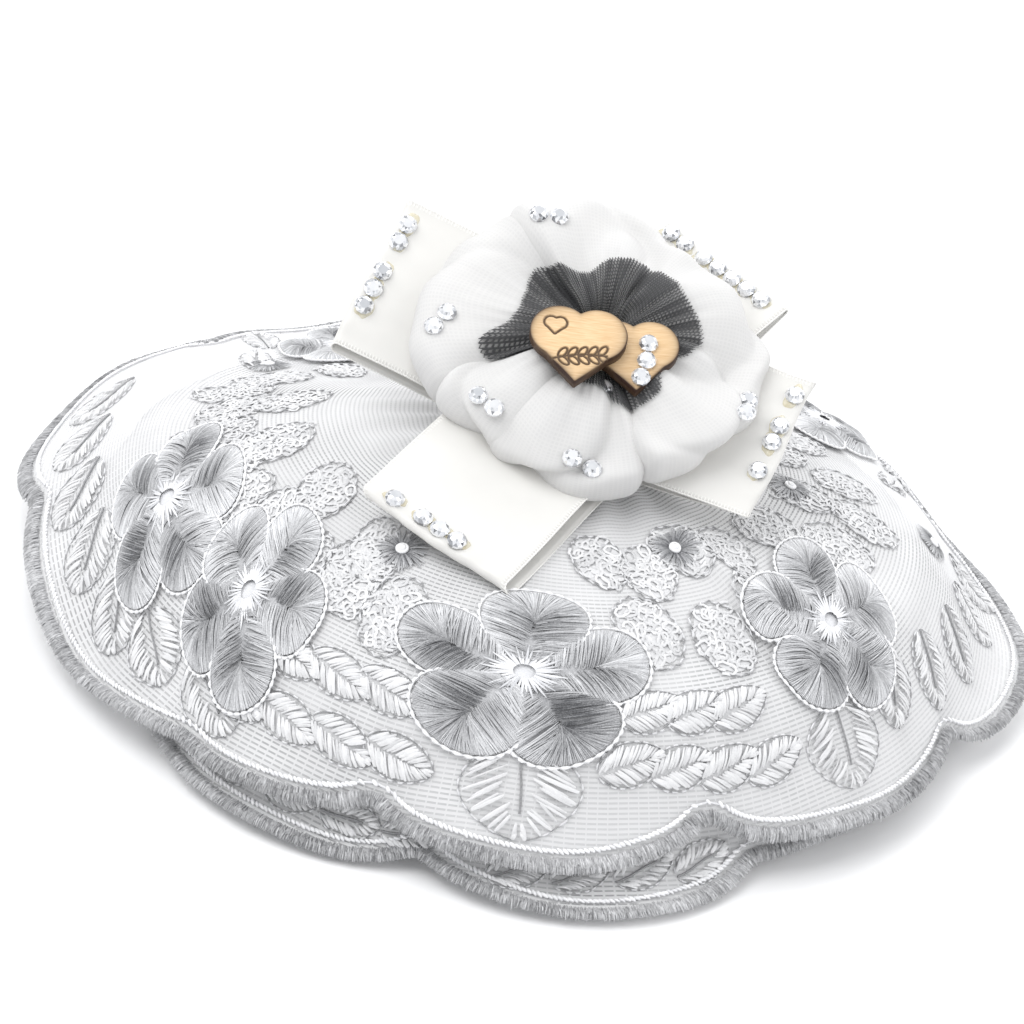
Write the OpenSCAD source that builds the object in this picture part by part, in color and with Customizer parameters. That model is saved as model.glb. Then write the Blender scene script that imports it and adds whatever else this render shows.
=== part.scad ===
// Ring bearer pillow: domed cushion under two tiers of scalloped lace, with a ribbon bow,
// a gathered rosette, two wooden hearts and glued stones.  Millimetres, +Z up, table at z = 0.

/* [Cushion] */
// Radius of the cushion at its seam
cushion_r = 100; // [80:1:120]
// Height of the crown of the cushion above the table
crown_h = 47; // [35:1:60]
// Height of the side seam above the table
seam_h = 21; // [14:1:26]
// Radius of the flat patch the cushion rests on
base_r = 55; // [30:1:70]
// Thickness of the cover fabric
cover_t = 0.8; // [0.5:0.1:2]

/* [Lace] */
// Least hem radius of the upper tier, at the peak of a scallop
upper_hem_r = 117; // [113:1:120]
// Least hem radius of the lower tier, at the peak of a scallop
lower_hem_r = 118; // [114:1:122]
// Depth of a scallop between its peak and its cusps
scallop_depth = 7; // [3:0.5:9]
// Thickness of the tulle ground
tulle_t = 0.5; // [0.3:0.1:1]
// Width of the stitched border band
border_w = 6; // [4:0.5:8]
// Thickness of the stitched border band
border_t = 1.1; // [0.8:0.1:2]
// Width of the white cord
cord_w = 1.8; // [1.2:0.1:2.4]
// Radius of a large embroidered flower
flower_r = 20; // [14:1:24]

/* [Bow] */
// Forward tilt of the whole bow, degrees
bow_tilt = 27; // [10:1:35]
// Width of the satin ribbon
ribbon_w = 40; // [25:1:50]
// Height of a flattened ribbon loop
loop_h = 2.4; // [2:0.1:5]
// Thickness of the ribbon
ribbon_t = 0.5; // [0.3:0.1:0.8]

/* [Rosette] */
// Outer radius of the white ruffle
rosette_r = 41; // [30:1:48]
// Height of the white ruffle
rosette_h = 12; // [8:1:20]
// Outer radius of the dark ruffle
dark_r = 24; // [16:1:28]

/* [Hearts and stones] */
// Side of the square the front heart is built on
heart_side = 13.1; // [10:0.1:20]
// Side of the square the back heart is built on
back_heart_side = 12.3; // [10:0.1:20]
// Thickness of the wood
heart_t = 3; // [2:0.1:4]
// Diameter of a stone
stone_d = 4.7; // [3:0.1:6]
// Height of a stone
stone_h = 2; // [1.2:0.1:3]

/* [Hidden] */
$fn = 64;
dome_power = 2.2;      // fullness of the crown: 2 is an ellipse, more is flatter on top
side_power = 0.625;
dome_steps = 14;
air = 0.3;             // gap left between soft neighbours
big = 400;
cloth_lift_low = 1.4;  // lower tier above the cushion
cloth_lift_up = 4.2;   // upper tier above the cushion
drape_start = 86;      // radius where the lace leaves the dome and falls as a skirt
cord_gap = 1;
stitch_t = 0.9;        // height of raised embroidery
bow_at = [8, -5, 64];  // centre of the bow, top face of the upper ribbon
rosette_at = [0, 6];   // centre of the rosette in the plane of the bow
stone_inset = 2.8;     // stones sit this far in from the folded ribbon end

// Undersides of the two skirts outside the dome: [radius, height]
lower_skirt = [[94.3, 30], [100.7, 23], [105.3, 15.5], [110.4, 8], [115.6, 3.4], [123.3, 1.1], [145, 0.3]];
upper_skirt = [[95.3, 33.5], [103.4, 25.5], [109.3, 18], [114.2, 11.5], [119.7, 7.3], [126.7, 5.2], [145, 4]];

// Scallops round each hem, angles from the front growing to the right:
// [middle angle, angle spanned, extra reach beyond the least hem radius]
upper_scallops = [[-66, 64, 11], [-22.5, 23, 0], [6.5, 35, 0], [46, 43, 0], [90, 46, 14], [138, 50, 11],
                  [188, 50, 8], [237.5, 49, 12]];
lower_scallops = [[-75, 47, 6], [-27, 49, 0], [18, 41, 8], [60, 43, 0], [104, 45, 7], [149, 45, 6],
                  [194, 45, 6], [239, 45, 7]];

// Embroidery on each tier: [angle from the front, radius in plan, size]
flowers = [[-65, 94, 0.8], [-40, 92, 0.85], [2, 87, 1.15], [52, 84, 1.05], [92, 94, 0.9], [130, 90, 1],
           [168, 88, 1], [206, 90, 1], [244, 92, 0.9]];
small_flowers = [[-108, 76, 1], [-70, 62, 1], [-26, 66, 1], [35, 56, 1], [76, 66, 1], [113, 72, 1],
                 [150, 64, 1], [186, 66, 1], [222, 66, 1]];
leaves_up = [[-89, 114, 1], [-64, 109, 0.9], [-50, 104, 0.9], [-33, 104, 0.9], [-15, 95, 1], [3, 101, 1],
             [25, 91, 1.1], [40, 101, 0.9], [58, 100, 0.9], [74, 92, 0.9], [104, 108, 1], [118, 104, 1],
             [144, 104, 1], [155, 104, 1], [182, 102, 1], [194, 102, 1], [224, 104, 1], [252, 106, 1]];
leaves_low = [[-28, 104, 0.55], [-15, 104, 0.5], [13, 109, 0.7], [25, 107, 0.6], [60, 104, 0.6],
              [104, 108, 0.7], [149, 107, 0.7], [194, 107, 0.7], [239, 108, 0.7]];

// Ribbon arms in the plane of the bow: [direction, length, pitch up, roll, stone places 0..1]
arm_left = [165, 60, 10, -16, [0.15, 0.27, 0.48, 0.6, 0.72]];
arm_right = [-18, 49, 10, 4, [0.31, 0.52, 0.64, 0.87]];
arm_back = [53, 48, 10, -9, [0.16, 0.28, 0.4, 0.52, 0.64, 0.8, 0.92]];
arm_front = [-119, 66, 14, 2, [0.19, 0.39, 0.51, 0.63]];
under_drop = loop_h + 0.2;  // the under loop lies this far below the over loop

// Stone pairs on the rosette and stones on the hearts, in the plane of the bow
rosette_pairs = [[-17, 33, 10], [-38, 0, 60], [-24, -21, -35], [0, -31, -5], [36, -9, 85]];
heart_front_at = [-5.2, -8.2, 20.6];
heart_back_at = [8.6, -6.1, 17.2];
heart_front_turn = 3;
heart_back_turn = 9;
heart_stones = [[10.9, 0.3], [11, -4.5], [10.2, -9.25]];
centre_stone = [2.2, -10.5, 15.4];

// Hot glue under the hearts: a post up to the back heart, one up to the front heart, a bridge between
back_post_at = [1.5, 2, 8.9];
back_post_r = 4;
front_post_at = [-6, -2];
front_post_r = 3;
bridge = [10, 6, 1.8];
glue_gap = 0.1;

// The white ruffle is five puffed lobes standing on the rosette base
lobe_r = rosette_r * 0.52;
lobe_ring = rosette_r - lobe_r;
lobe_base = 3.7;
lobe_angles = [for (i = [0 : 4]) 72 * i + 18];

// ---- cushion ----

function dome(r, inset = 0) =
    let (edge = cushion_r - inset, full = pow(min(r / edge, 1), dome_power))
    seam_h + (crown_h - inset - seam_h) * pow(1 - full, side_power);

function dome_curve(inset, r_end) =
    [for (i = [0 : dome_steps]) let (r = r_end * sin(90 * i / dome_steps)) [r, dome(r, inset)]];

function belly_curve(inset) =
    let (reach = cushion_r - inset - base_r, drop = seam_h - inset)
    [for (i = [0 : 6]) let (a = 15 * i) [base_r + reach * cos(a), seam_h - drop * sin(a)]];

function reversed(list) = [for (i = [len(list) - 1 : -1 : 0]) list[i]];

module cushion_fill() {
    inset = cover_t + air;
    color("white") rotate_extrude()
        polygon(concat([[0, inset]], dome_curve(inset, cushion_r - inset), belly_curve(inset)));
}

module cushion_top() {
    color("ivory") rotate_extrude() translate([0, 0.1])
        polygon(concat(dome_curve(0, cushion_r), reversed(dome_curve(cover_t, cushion_r - cover_t))));
}

module cushion_bottom() {
    color("ivory") rotate_extrude() polygon(concat(
        [[0, 0]], reversed(belly_curve(0)), belly_curve(cover_t), [[0, cover_t]]));
}

// ---- lace ----

// Polar placement on the table plan: angle 0 is the front, growing to the right
module at_polar(angle, r) {
    rotate([0, 0, angle - 90]) translate([r, 0]) children();
}

// One scallop is a circle through its two cusps and its peak; short scallops are shallower
module scallop(item, hem_r, grow) {
    full_span = 44;
    half = item[1] / 2;
    peak = hem_r + item[2];
    cusp = peak - scallop_depth * min(1, item[1] / full_span);
    middle = (peak * peak - cusp * cusp) / (2 * (peak - cusp * cos(half)));
    at_polar(item[0], middle) circle(r = peak - middle + grow);
}

module outline(scallops, hem_r, grow) {
    circle(r = drape_start);
    for (item = scallops) scallop(item, hem_r, grow);
}

module upper_outline(grow) {
    outline(upper_scallops, upper_hem_r, grow);
}

module lower_outline(grow) {
    outline(lower_scallops, lower_hem_r, grow);
}

// Revolved skin that follows dome and skirt, from `low` to `high` above the skirt's underside
module skin(lift, skirt, low, high) {
    top = [for (i = [0 : dome_steps]) let (r = drape_start * i / dome_steps) [r, dome(r) + lift]];
    path = concat(top, skirt);
    rotate_extrude() polygon(concat(
        [for (p = path) [p[0], p[1] + low]], reversed([for (p = path) [p[0], p[1] + high]])));
}

module cut_skin(lift, skirt, low, high) {
    intersection() {
        skin(lift, skirt, low, high);
        linear_extrude(height = big, center = true) children();
    }
}

module lower_tulle() {
    color("gainsboro") cut_skin(cloth_lift_low, lower_skirt, 0, tulle_t) lower_outline(-border_w);
}

module lower_border() {
    color("silver") cut_skin(cloth_lift_low, lower_skirt, 0, border_t) difference() {
        lower_outline(0);
        lower_outline(-border_w + 0.05);
    }
}

module lower_cord() {
    outer = -border_w - cord_gap;
    color("white") cut_skin(cloth_lift_low, lower_skirt, tulle_t, tulle_t + cord_w) difference() {
        lower_outline(outer);
        lower_outline(outer - cord_w);
    }
}

module upper_tulle() {
    color("gainsboro") cut_skin(cloth_lift_up, upper_skirt, 0, tulle_t) upper_outline(-border_w);
}

module upper_border() {
    color("silver") cut_skin(cloth_lift_up, upper_skirt, 0, border_t) difference() {
        upper_outline(0);
        upper_outline(-border_w + 0.05);
    }
}

module upper_cord() {
    outer = -border_w - cord_gap;
    color("white") cut_skin(cloth_lift_up, upper_skirt, tulle_t, tulle_t + cord_w) difference() {
        upper_outline(outer);
        upper_outline(outer - cord_w);
    }
}

// ---- embroidery, drawn flat and laid on the lace ----

module leaf_2d(length) {
    bend = length * 0.72;
    offset_y = sqrt(bend * bend - length * length / 4);
    intersection() {
        translate([0, offset_y]) circle(r = bend);
        translate([0, -offset_y]) circle(r = bend);
    }
}

module flower_2d(size) {
    circle(r = size * 0.3);
    for (i = [0 : 4]) rotate([0, 0, 72 * i + 36]) translate([size * 0.58, 0]) circle(r = size * 0.4);
}

module raised_upper() {
    cut_skin(cloth_lift_up, upper_skirt, tulle_t, tulle_t + stitch_t) children();
}

module upper_flowers() {
    color("darkgray") raised_upper()
        for (f = flowers) at_polar(f[0], f[1]) flower_2d(flower_r * f[2]);
}

module upper_small_flowers() {
    color("lightgray") raised_upper()
        for (f = small_flowers) at_polar(f[0], f[1]) circle(r = 5 * f[2]);
}

module upper_leaves() {
    color("white") raised_upper() difference() {
        for (f = leaves_up) at_polar(f[0], f[1]) leaf_2d(17 * f[2]);
        for (f = flowers) at_polar(f[0], f[1]) flower_2d(flower_r * f[2] + 0.4);
        difference() {
            circle(r = big);
            upper_outline(-border_w - 2 * cord_gap - cord_w);
        }
    }
}

module lower_leaves() {
    color("white") cut_skin(cloth_lift_low, lower_skirt, tulle_t, tulle_t + stitch_t) intersection() {
        for (f = leaves_low) at_polar(f[0], f[1]) leaf_2d(17 * f[2]);
        lower_outline(-border_w - 2 * cord_gap - cord_w);
    }
}

// ---- bow ----

module in_bow() {
    translate(bow_at) rotate([bow_tilt, 0, 0]) children();
}

lace_top = dome(0) + cloth_lift_up + tulle_t;
felt_lift = 0.05;
felt_t = 1.5;
felt_r = 13;
felt_back = 3;         // the felt pad sits this far behind the bow's centre
knot_r = 8;
knot_drop = 12;
knot_gap = 0.1;

module bow_felt() {
    color("white") translate([bow_at[0], bow_at[1] + felt_back, lace_top + felt_lift])
        cylinder(r = felt_r, h = felt_t);
}

// The bound middle of the bow, cut off level where it meets the felt
module bow_knot() {
    color("ivory") intersection() {
        in_bow() translate([0, 0, -under_drop - loop_h - knot_gap - knot_drop])
            cylinder(r = knot_r, h = knot_drop);
        translate([-big / 2, -big / 2, lace_top + felt_lift + felt_t + felt_lift]) cube([big, big, big]);
    }
}

// Places children on the top face of one ribbon arm, +X running out along it
module on_arm(arm, drop) {
    in_bow() translate([0, 0, -drop]) rotate([0, 0, arm[0]]) rotate([0, -arm[2], 0])
        rotate([arm[3], 0, 0]) children();
}

// Flattened tube of one arm, folded at its far end; grow shrinks it for the hollow
module arm_tube(arm, drop, grow, width) {
    r = loop_h / 2 + grow;
    on_arm(arm, drop) translate([0, width / 2, -loop_h / 2]) rotate([90, 0, 0])
        linear_extrude(height = width) {
            translate([-6, -r]) square([arm[1] - loop_h / 2 + 6, 2 * r]);
            translate([arm[1] - loop_h / 2, 0]) circle(r = r, $fn = 32);
        }
}

module ribbon_loop(arm_a, arm_b, drop) {
    color("floralwhite") difference() {
        union() {
            arm_tube(arm_a, drop, 0, ribbon_w);
            arm_tube(arm_b, drop, 0, ribbon_w);
        }
        arm_tube(arm_a, drop, -ribbon_t, ribbon_w + 2);
        arm_tube(arm_b, drop, -ribbon_t, ribbon_w + 2);
    }
}

module ribbon_under() {
    ribbon_loop(arm_front, arm_back, under_drop);
}

module ribbon_over() {
    ribbon_loop(arm_left, arm_right, 0);
}

// ---- rosette ----

module in_rosette() {
    in_bow() translate([rosette_at[0], rosette_at[1], 0]) children();
}

module rosette_base() {
    color("white") in_rosette() translate([0, 0, 2]) cylinder(r = 17, h = 1.5);
}

module rosette_white() {
    color("white") in_rosette() difference() {
        intersection() {
            for (a = lobe_angles) rotate([0, 0, a]) translate([lobe_ring, 0, lobe_base]) sphere(r = lobe_r);
            translate([0, 0, lobe_base]) cylinder(r = 2 * rosette_r, h = rosette_h);
        }
        translate([0, 0, 8.5]) cylinder(r = dark_r + 1, h = rosette_h);
        cylinder(r = 7, h = 60, center = true);
    }
}

module rosette_dark() {
    lobes = 9;
    color("dimgray") in_rosette() difference() {
        intersection() {
            union() {
                cylinder(r = dark_r - 5, h = 60);
                for (i = [0 : lobes - 1]) rotate([0, 0, 360 * i / lobes])
                    translate([dark_r - 6, 0, 0]) cylinder(r = 6, h = 60);
            }
            translate([0, 0, 8.8]) cylinder(r1 = dark_r - 2, r2 = dark_r, h = 6.5);
        }
        cylinder(r = 7, h = 60);
    }
}

module rosette_stitches() {
    count = 8;
    color("white") in_rosette() for (i = [0 : count - 1]) rotate([0, 0, 360 * i / count])
        translate([6.2, 0, 3.6]) cylinder(r = 0.5, h = 8);
}

// ---- hearts ----

// A heart is a square on its corner with two round lobes, all in shares of the square's side
module heart_2d(side) {
    middle = side * 0.15;
    lobe_at = side * 0.34;
    lobe = side * 0.53;
    translate([0, middle]) {
        rotate([0, 0, 45]) square(side, center = true);
        for (s = [-1, 1]) translate([s * lobe_at, lobe_at]) circle(r = lobe);
    }
}

// A plain leafy sprig, the engraved pattern
module sprig_2d() {
    stem = [11, 0.6];
    leaf_length = 3.6;
    leaf_lean = 40;
    leaf_shift = [0.9, 1.5];
    square(stem, center = true);
    for (x = [-3, 0, 3], s = [-1, 1]) translate([x + leaf_shift[0], s * leaf_shift[1]])
        rotate([0, 0, s * leaf_lean]) leaf_2d(leaf_length);
}

// The engraving: the sprig below and a small outlined heart near the left lobe
module engraving_2d() {
    translate([0.5, -1.5]) rotate([0, 0, 10]) sprig_2d();
    translate([-5.4, 6.4]) difference() {
        heart_2d(3.4);
        heart_2d(2.5);
    }
}

module heart_front() {
    groove = 0.4;
    color("burlywood") in_bow() translate(heart_front_at) rotate([0, 0, heart_front_turn]) difference() {
        linear_extrude(height = heart_t) heart_2d(heart_side);
        translate([0, 0, heart_t - groove]) linear_extrude(height = 1) engraving_2d();
    }
}

module heart_back() {
    color("burlywood") in_bow() translate(heart_back_at) rotate([0, 0, heart_back_turn])
        linear_extrude(height = heart_t) heart_2d(back_heart_side);
}

module heart_glue() {
    bridge_z = heart_back_at[2] - bridge[2] - 2 * glue_gap;
    color("ivory") in_bow() {
        translate(back_post_at) cylinder(r = back_post_r, h = heart_back_at[2] - back_post_at[2] - glue_gap);
        translate([front_post_at[0], front_post_at[1], bridge_z])
            cylinder(r = front_post_r, h = heart_front_at[2] - bridge_z - glue_gap);
        translate([front_post_at[0], front_post_at[1] - 1, bridge_z]) cube(bridge);
    }
}

// ---- stones and glue ----

module stone() {
    r = stone_d / 2;
    rotate_extrude($fn = 32) polygon([[0, 0], [r, 0], [r, 0.5], [r * 0.6, stone_h], [0, stone_h]]);
}

module arm_stones(arm, drop) {
    color("lightsteelblue") on_arm(arm, drop) for (place = arm[4])
        translate([arm[1] - stone_inset, (place - 0.5) * ribbon_w, 0.35]) stone();
}

module arm_smear(arm, drop) {
    color("lightyellow") on_arm(arm, drop) for (place = arm[4])
        translate([arm[1] - stone_inset, (place - 0.5) * ribbon_w, 0.02]) cylinder(r = 2.1, h = 0.3);
}

module stones_left() {
    arm_stones(arm_left, 0);
}

module stones_right() {
    arm_stones(arm_right, 0);
}

module stones_front() {
    arm_stones(arm_front, under_drop);
}

module stones_back() {
    arm_stones(arm_back, under_drop);
}

module smear_left() {
    arm_smear(arm_left, 0);
}

module smear_right() {
    arm_smear(arm_right, 0);
}

module smear_front() {
    arm_smear(arm_front, under_drop);
}

module smear_back() {
    arm_smear(arm_back, under_drop);
}

// Height of the white ruffle under a stone at p, in the plane of the bow
function ruffle_top(p) =
    let (q = p - rosette_at,
         reach = min([for (a = lobe_angles) norm(q - lobe_ring * [cos(a), sin(a)])]),
         uphill = max(reach - stone_d / 2, 0))
    lobe_base + min(rosette_h, sqrt(max(lobe_r * lobe_r - uphill * uphill, 0)));

module stones_rosette() {
    color("lightsteelblue") in_bow() for (pair = rosette_pairs, s = [-1, 1]) {
        place = [pair[0], pair[1]] + s * 2.5 * [cos(pair[2]), sin(pair[2])];
        translate([place[0], place[1], ruffle_top(place) + 0.1]) stone();
    }
}

module stones_heart() {
    color("lightsteelblue") in_bow() for (place = heart_stones)
        translate([place[0], place[1], heart_back_at[2] + heart_t + 0.02]) stone();
}

module stone_centre() {
    color("lightsteelblue") in_bow() translate(centre_stone) stone();
}

cushion_fill();
cushion_top();
cushion_bottom();
lower_tulle();
lower_border();
lower_cord();
lower_leaves();
upper_tulle();
upper_border();
upper_cord();
upper_flowers();
upper_small_flowers();
upper_leaves();
bow_felt();
bow_knot();
ribbon_under();
ribbon_over();
rosette_base();
rosette_white();
rosette_dark();
rosette_stitches();
heart_glue();
heart_front();
heart_back();
stones_left();
stones_front();
stones_right();
stones_back();
stones_rosette();
stones_heart();
stone_centre();
smear_left();
smear_front();
smear_right();
smear_back();
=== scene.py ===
import math

import bpy
import numpy as np
from mathutils import Matrix, Vector

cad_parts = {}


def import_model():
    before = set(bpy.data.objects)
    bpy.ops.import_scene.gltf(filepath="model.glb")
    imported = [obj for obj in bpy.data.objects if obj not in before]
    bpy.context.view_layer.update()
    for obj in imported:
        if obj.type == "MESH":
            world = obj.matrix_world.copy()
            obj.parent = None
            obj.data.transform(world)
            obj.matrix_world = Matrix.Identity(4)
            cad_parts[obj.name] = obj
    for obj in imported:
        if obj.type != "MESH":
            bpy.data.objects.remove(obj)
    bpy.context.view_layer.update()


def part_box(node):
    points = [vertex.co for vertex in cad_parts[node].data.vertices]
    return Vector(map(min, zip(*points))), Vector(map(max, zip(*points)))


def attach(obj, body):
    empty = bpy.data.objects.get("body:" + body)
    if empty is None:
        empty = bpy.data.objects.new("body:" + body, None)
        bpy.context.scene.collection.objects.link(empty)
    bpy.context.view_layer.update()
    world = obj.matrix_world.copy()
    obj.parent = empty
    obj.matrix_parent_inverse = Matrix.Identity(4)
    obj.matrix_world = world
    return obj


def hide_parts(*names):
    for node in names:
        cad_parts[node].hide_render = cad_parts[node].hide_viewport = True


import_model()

MM = 0.001
rng = np.random.default_rng(7)


# ---------------------------------------------------------------- small helpers

def node_box(node):
    """Lowest and highest corner of a CAD node, in millimetres."""
    low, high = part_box(node)
    return np.array(low) / MM, np.array(high) / MM


def smooth(x, start, end):
    """0 before start, 1 after end, and a soft ramp between."""
    t = np.clip((np.asarray(x, float) - start) / (end - start), 0, 1)
    return t * t * (3 - 2 * t)


def angle_gap(theta, middle_deg):
    """Signed angle in degrees from middle to theta, wrapped to +-180."""
    return (np.degrees(theta) - middle_deg + 180) % 360 - 180


def bump(theta, middle_deg, half_deg):
    """1 at the middle angle, falling smoothly to 0 half_deg away."""
    return 1 - smooth(np.abs(angle_gap(theta, middle_deg)), 0, half_deg)


def unit(v):
    """Vectors scaled to a length of one."""
    return v / np.maximum(np.linalg.norm(v, axis=-1, keepdims=True), 1e-9)


def mix(a, b, t):
    """From a at t = 0 to b at t = 1, in a straight line."""
    return a + (b - a) * t


def circle(count):
    """That many angles, evenly spaced round a full turn."""
    return np.linspace(0, 2 * math.pi, count, endpoint=False)


def points_of(*coordinates):
    """Points from separate coordinates, whose shapes are matched to each other first."""
    return np.stack(np.broadcast_arrays(*coordinates), -1)


# ---------------------------------------------------------------- mesh building

def make_piece(name, verts, faces, material, tone=None, uv=None, flat=False):
    """A mesh piece from points in millimetres; faces is an array of quads or a list of polygons."""
    mesh = bpy.data.meshes.new(name)
    if isinstance(faces, np.ndarray):
        mesh.vertices.add(len(verts))
        mesh.vertices.foreach_set("co", (np.asarray(verts) * MM).astype(np.float32).ravel())
        mesh.loops.add(faces.size)
        mesh.loops.foreach_set("vertex_index", faces.astype(np.int32).ravel())
        mesh.polygons.add(len(faces))
        mesh.polygons.foreach_set("loop_start", np.arange(0, faces.size, faces.shape[1], dtype=np.int32))
        mesh.update(calc_edges=True)
    else:
        mesh.from_pydata([tuple(v) for v in np.asarray(verts) * MM], [], faces)
    if tone is not None:
        layer = mesh.attributes.new("tone", "FLOAT", "POINT")
        layer.data.foreach_set("value", np.asarray(tone, np.float32).ravel())
    if uv is not None:
        corner = np.empty(len(mesh.loops), np.int32)
        mesh.loops.foreach_get("vertex_index", corner)
        layer = mesh.uv_layers.new(name="cloth")
        layer.data.foreach_set("uv", np.asarray(uv, np.float32)[corner].ravel())
    mesh.validate()
    if flat:
        mesh.shade_flat()
    else:
        mesh.shade_smooth()
    mesh.materials.append(material)
    piece = bpy.data.objects.new(name, mesh)
    bpy.context.scene.collection.objects.link(piece)
    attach(piece, "root")
    return piece


def grid_quads(rows, columns, wrap_columns=False, wrap_rows=False, start=0):
    """Quads of a rows by columns grid of points stored row by row."""
    i = np.arange(rows if wrap_rows else rows - 1)[:, None]
    j = np.arange(columns if wrap_columns else columns - 1)[None, :]
    i2, j2 = (i + 1) % rows, (j + 1) % columns
    quads = [i * columns + j, i * columns + j2, i2 * columns + j2, i2 * columns + j]
    return points_of(*quads).reshape(-1, 4) + start


class Threads:
    """Collects many laid or round threads into one mesh."""

    def __init__(self):
        self.verts, self.quads, self.tones, self.count = [], [], [], 0

    def add(self, paths, normals, half_width, height, tone, sides=0, loop=False):
        """paths and normals are (threads, points, 3). With sides 0 each thread is a low ridge laid
        on the cloth; otherwise it is a tube with that many sides. tone is per thread or per point."""
        n, k = paths.shape[:2]
        ahead = np.roll(paths, -1, 1) - np.roll(paths, 1, 1)
        if not loop:
            ahead[:, 0] = paths[:, 1] - paths[:, 0]
            ahead[:, -1] = paths[:, -1] - paths[:, -2]
        across = unit(np.cross(ahead, normals))
        up = unit(np.cross(across, ahead))
        wide = np.broadcast_to(np.asarray(half_width, float).reshape(np.shape(half_width) or (1, 1)), (n, k))
        tall = np.broadcast_to(np.asarray(height, float).reshape(np.shape(height) or (1, 1)), (n, k))
        turns = np.radians([180, 90, 0]) if sides == 0 else np.arange(sides) * 2 * math.pi / sides
        ring = (paths[:, :, None, :]
                + across[:, :, None, :] * (wide[:, :, None] * np.cos(turns))[..., None]
                + up[:, :, None, :] * (tall[:, :, None] * np.sin(turns))[..., None])
        width = len(turns)
        one = grid_quads(k, width, wrap_columns=sides > 0, wrap_rows=loop)
        shift = (np.arange(n) * k * width)[:, None, None]
        self.quads.append((one[None] + shift).reshape(-1, 4) + self.count)
        self.verts.append(ring.reshape(-1, 3))
        tone = np.asarray(tone, float)
        tone = np.broadcast_to(tone if tone.ndim == 2 else tone.reshape(-1, 1), (n, k))
        self.tones.append(np.repeat(tone.reshape(-1), width))
        self.count += n * k * width

    def add_patch(self, points, tone):
        """A plain piece of cloth or padding, given as a grid of points."""
        self.quads.append(grid_quads(*points.shape[:2], start=self.count))
        self.verts.append(points.reshape(-1, 3))
        self.tones.append(tone.reshape(-1))
        self.count += points.shape[0] * points.shape[1]

    def build(self, name, material, slot):
        """The collected threads as one piece."""
        return make_piece(name, np.concatenate(self.verts), np.concatenate(self.quads), material,
                          tone=np.concatenate(self.tones))


# ---------------------------------------------------------------- materials

class Shader:
    """A short way to write node materials."""

    def __init__(self, name):
        self.material = bpy.data.materials.new(name)
        self.material.use_nodes = True
        self.tree = self.material.node_tree
        self.tree.nodes.clear()
        self.out = self.tree.nodes.new("ShaderNodeOutputMaterial")

    def node(self, kind, links=(), **settings):
        """A node of that kind. settings are node properties; links maps inputs to values or sockets."""
        made = self.tree.nodes.new("ShaderNode" + kind)
        for key, value in settings.items():
            setattr(made, key, value)
        for key, value in dict(links).items():
            if isinstance(value, bpy.types.NodeSocket):
                self.tree.links.new(value, made.inputs[key])
            else:
                made.inputs[key].default_value = value
        return made

    def math(self, operation, a, b=0.0, clamp=False):
        """The result of one sum on two values or sockets."""
        return self.node("Math", {0: a, 1: b}, operation=operation, use_clamp=clamp).outputs[0]

    def ramp(self, value, stops):
        """A colour for a value; stops is a list of (place, colour)."""
        made = self.node("ValToRGB", {0: value})
        points = made.color_ramp.elements
        while len(points) < len(stops):
            points.new(0.5)
        for point, (place, colour) in zip(points, stops):
            point.position = place
            point.color = (*colour, 1) if len(colour) == 3 else colour
        return made.outputs[0]

    def noise(self, scale, detail=2.0, roughness=0.5, vector=None):
        """Soft noise, through the piece itself unless another vector is given."""
        links = {"Scale": scale, "Detail": detail, "Roughness": roughness}
        links["Vector"] = vector or self.coords("Object")
        return self.node("TexNoise", links).outputs[0]

    def coords(self, kind):
        """Texture coordinates of that kind."""
        return self.node("TexCoord").outputs[kind]

    def attribute(self, name):
        """A value stored on the mesh, such as tone."""
        return self.node("Attribute", attribute_name=name).outputs["Fac"]

    def uv(self):
        """The two directions along the cloth."""
        parts = self.node("SeparateXYZ", {0: self.node("UVMap", uv_map="cloth").outputs[0]})
        return parts.outputs[0], parts.outputs[1]

    def mix_colour(self, factor, a, b):
        """From colour a at factor 0 to colour b at factor 1."""
        made = self.node("Mix", {0: factor}, data_type="RGBA", blend_type="MIX")
        for socket, value in ((made.inputs[6], a), (made.inputs[7], b)):
            if isinstance(value, bpy.types.NodeSocket):
                self.tree.links.new(value, socket)
            else:
                socket.default_value = (*value, 1)
        return made.outputs[2]

    def bump(self, height, strength, distance):
        """Small relief from a height; distance in metres."""
        return self.node("Bump", {"Height": height, "Strength": strength, "Distance": distance}).outputs[0]

    def finish(self, surface):
        """Joins the surface to the output and gives the finished material."""
        self.tree.links.new(surface, self.out.inputs["Surface"])
        return self.material


def thread_material(name, dark, light, roughness=0.36, sheen=0.15, specular=0.5):
    """Shiny embroidery thread: tone picks the colour, fine noise breaks it up."""
    s = Shader(name)
    fine = s.noise(2600, 3)
    tone = s.math("ADD", s.attribute("tone"),
                  s.math("MULTIPLY", s.math("SUBTRACT", fine, 0.5), 0.5), clamp=True)
    middle = tuple((a + b) / 2 for a, b in zip(dark, light))
    colour = s.ramp(tone, [(0, dark), (0.5, middle), (1, light)])
    relief = s.bump(s.noise(4200, 1), 0.25, 0.0002)
    made = s.node("BsdfPrincipled", {"Base Color": colour, "Normal": relief, "Roughness": roughness,
                                     "Sheen Weight": sheen, "Specular IOR Level": specular})
    return s.finish(made.outputs[0])


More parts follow.
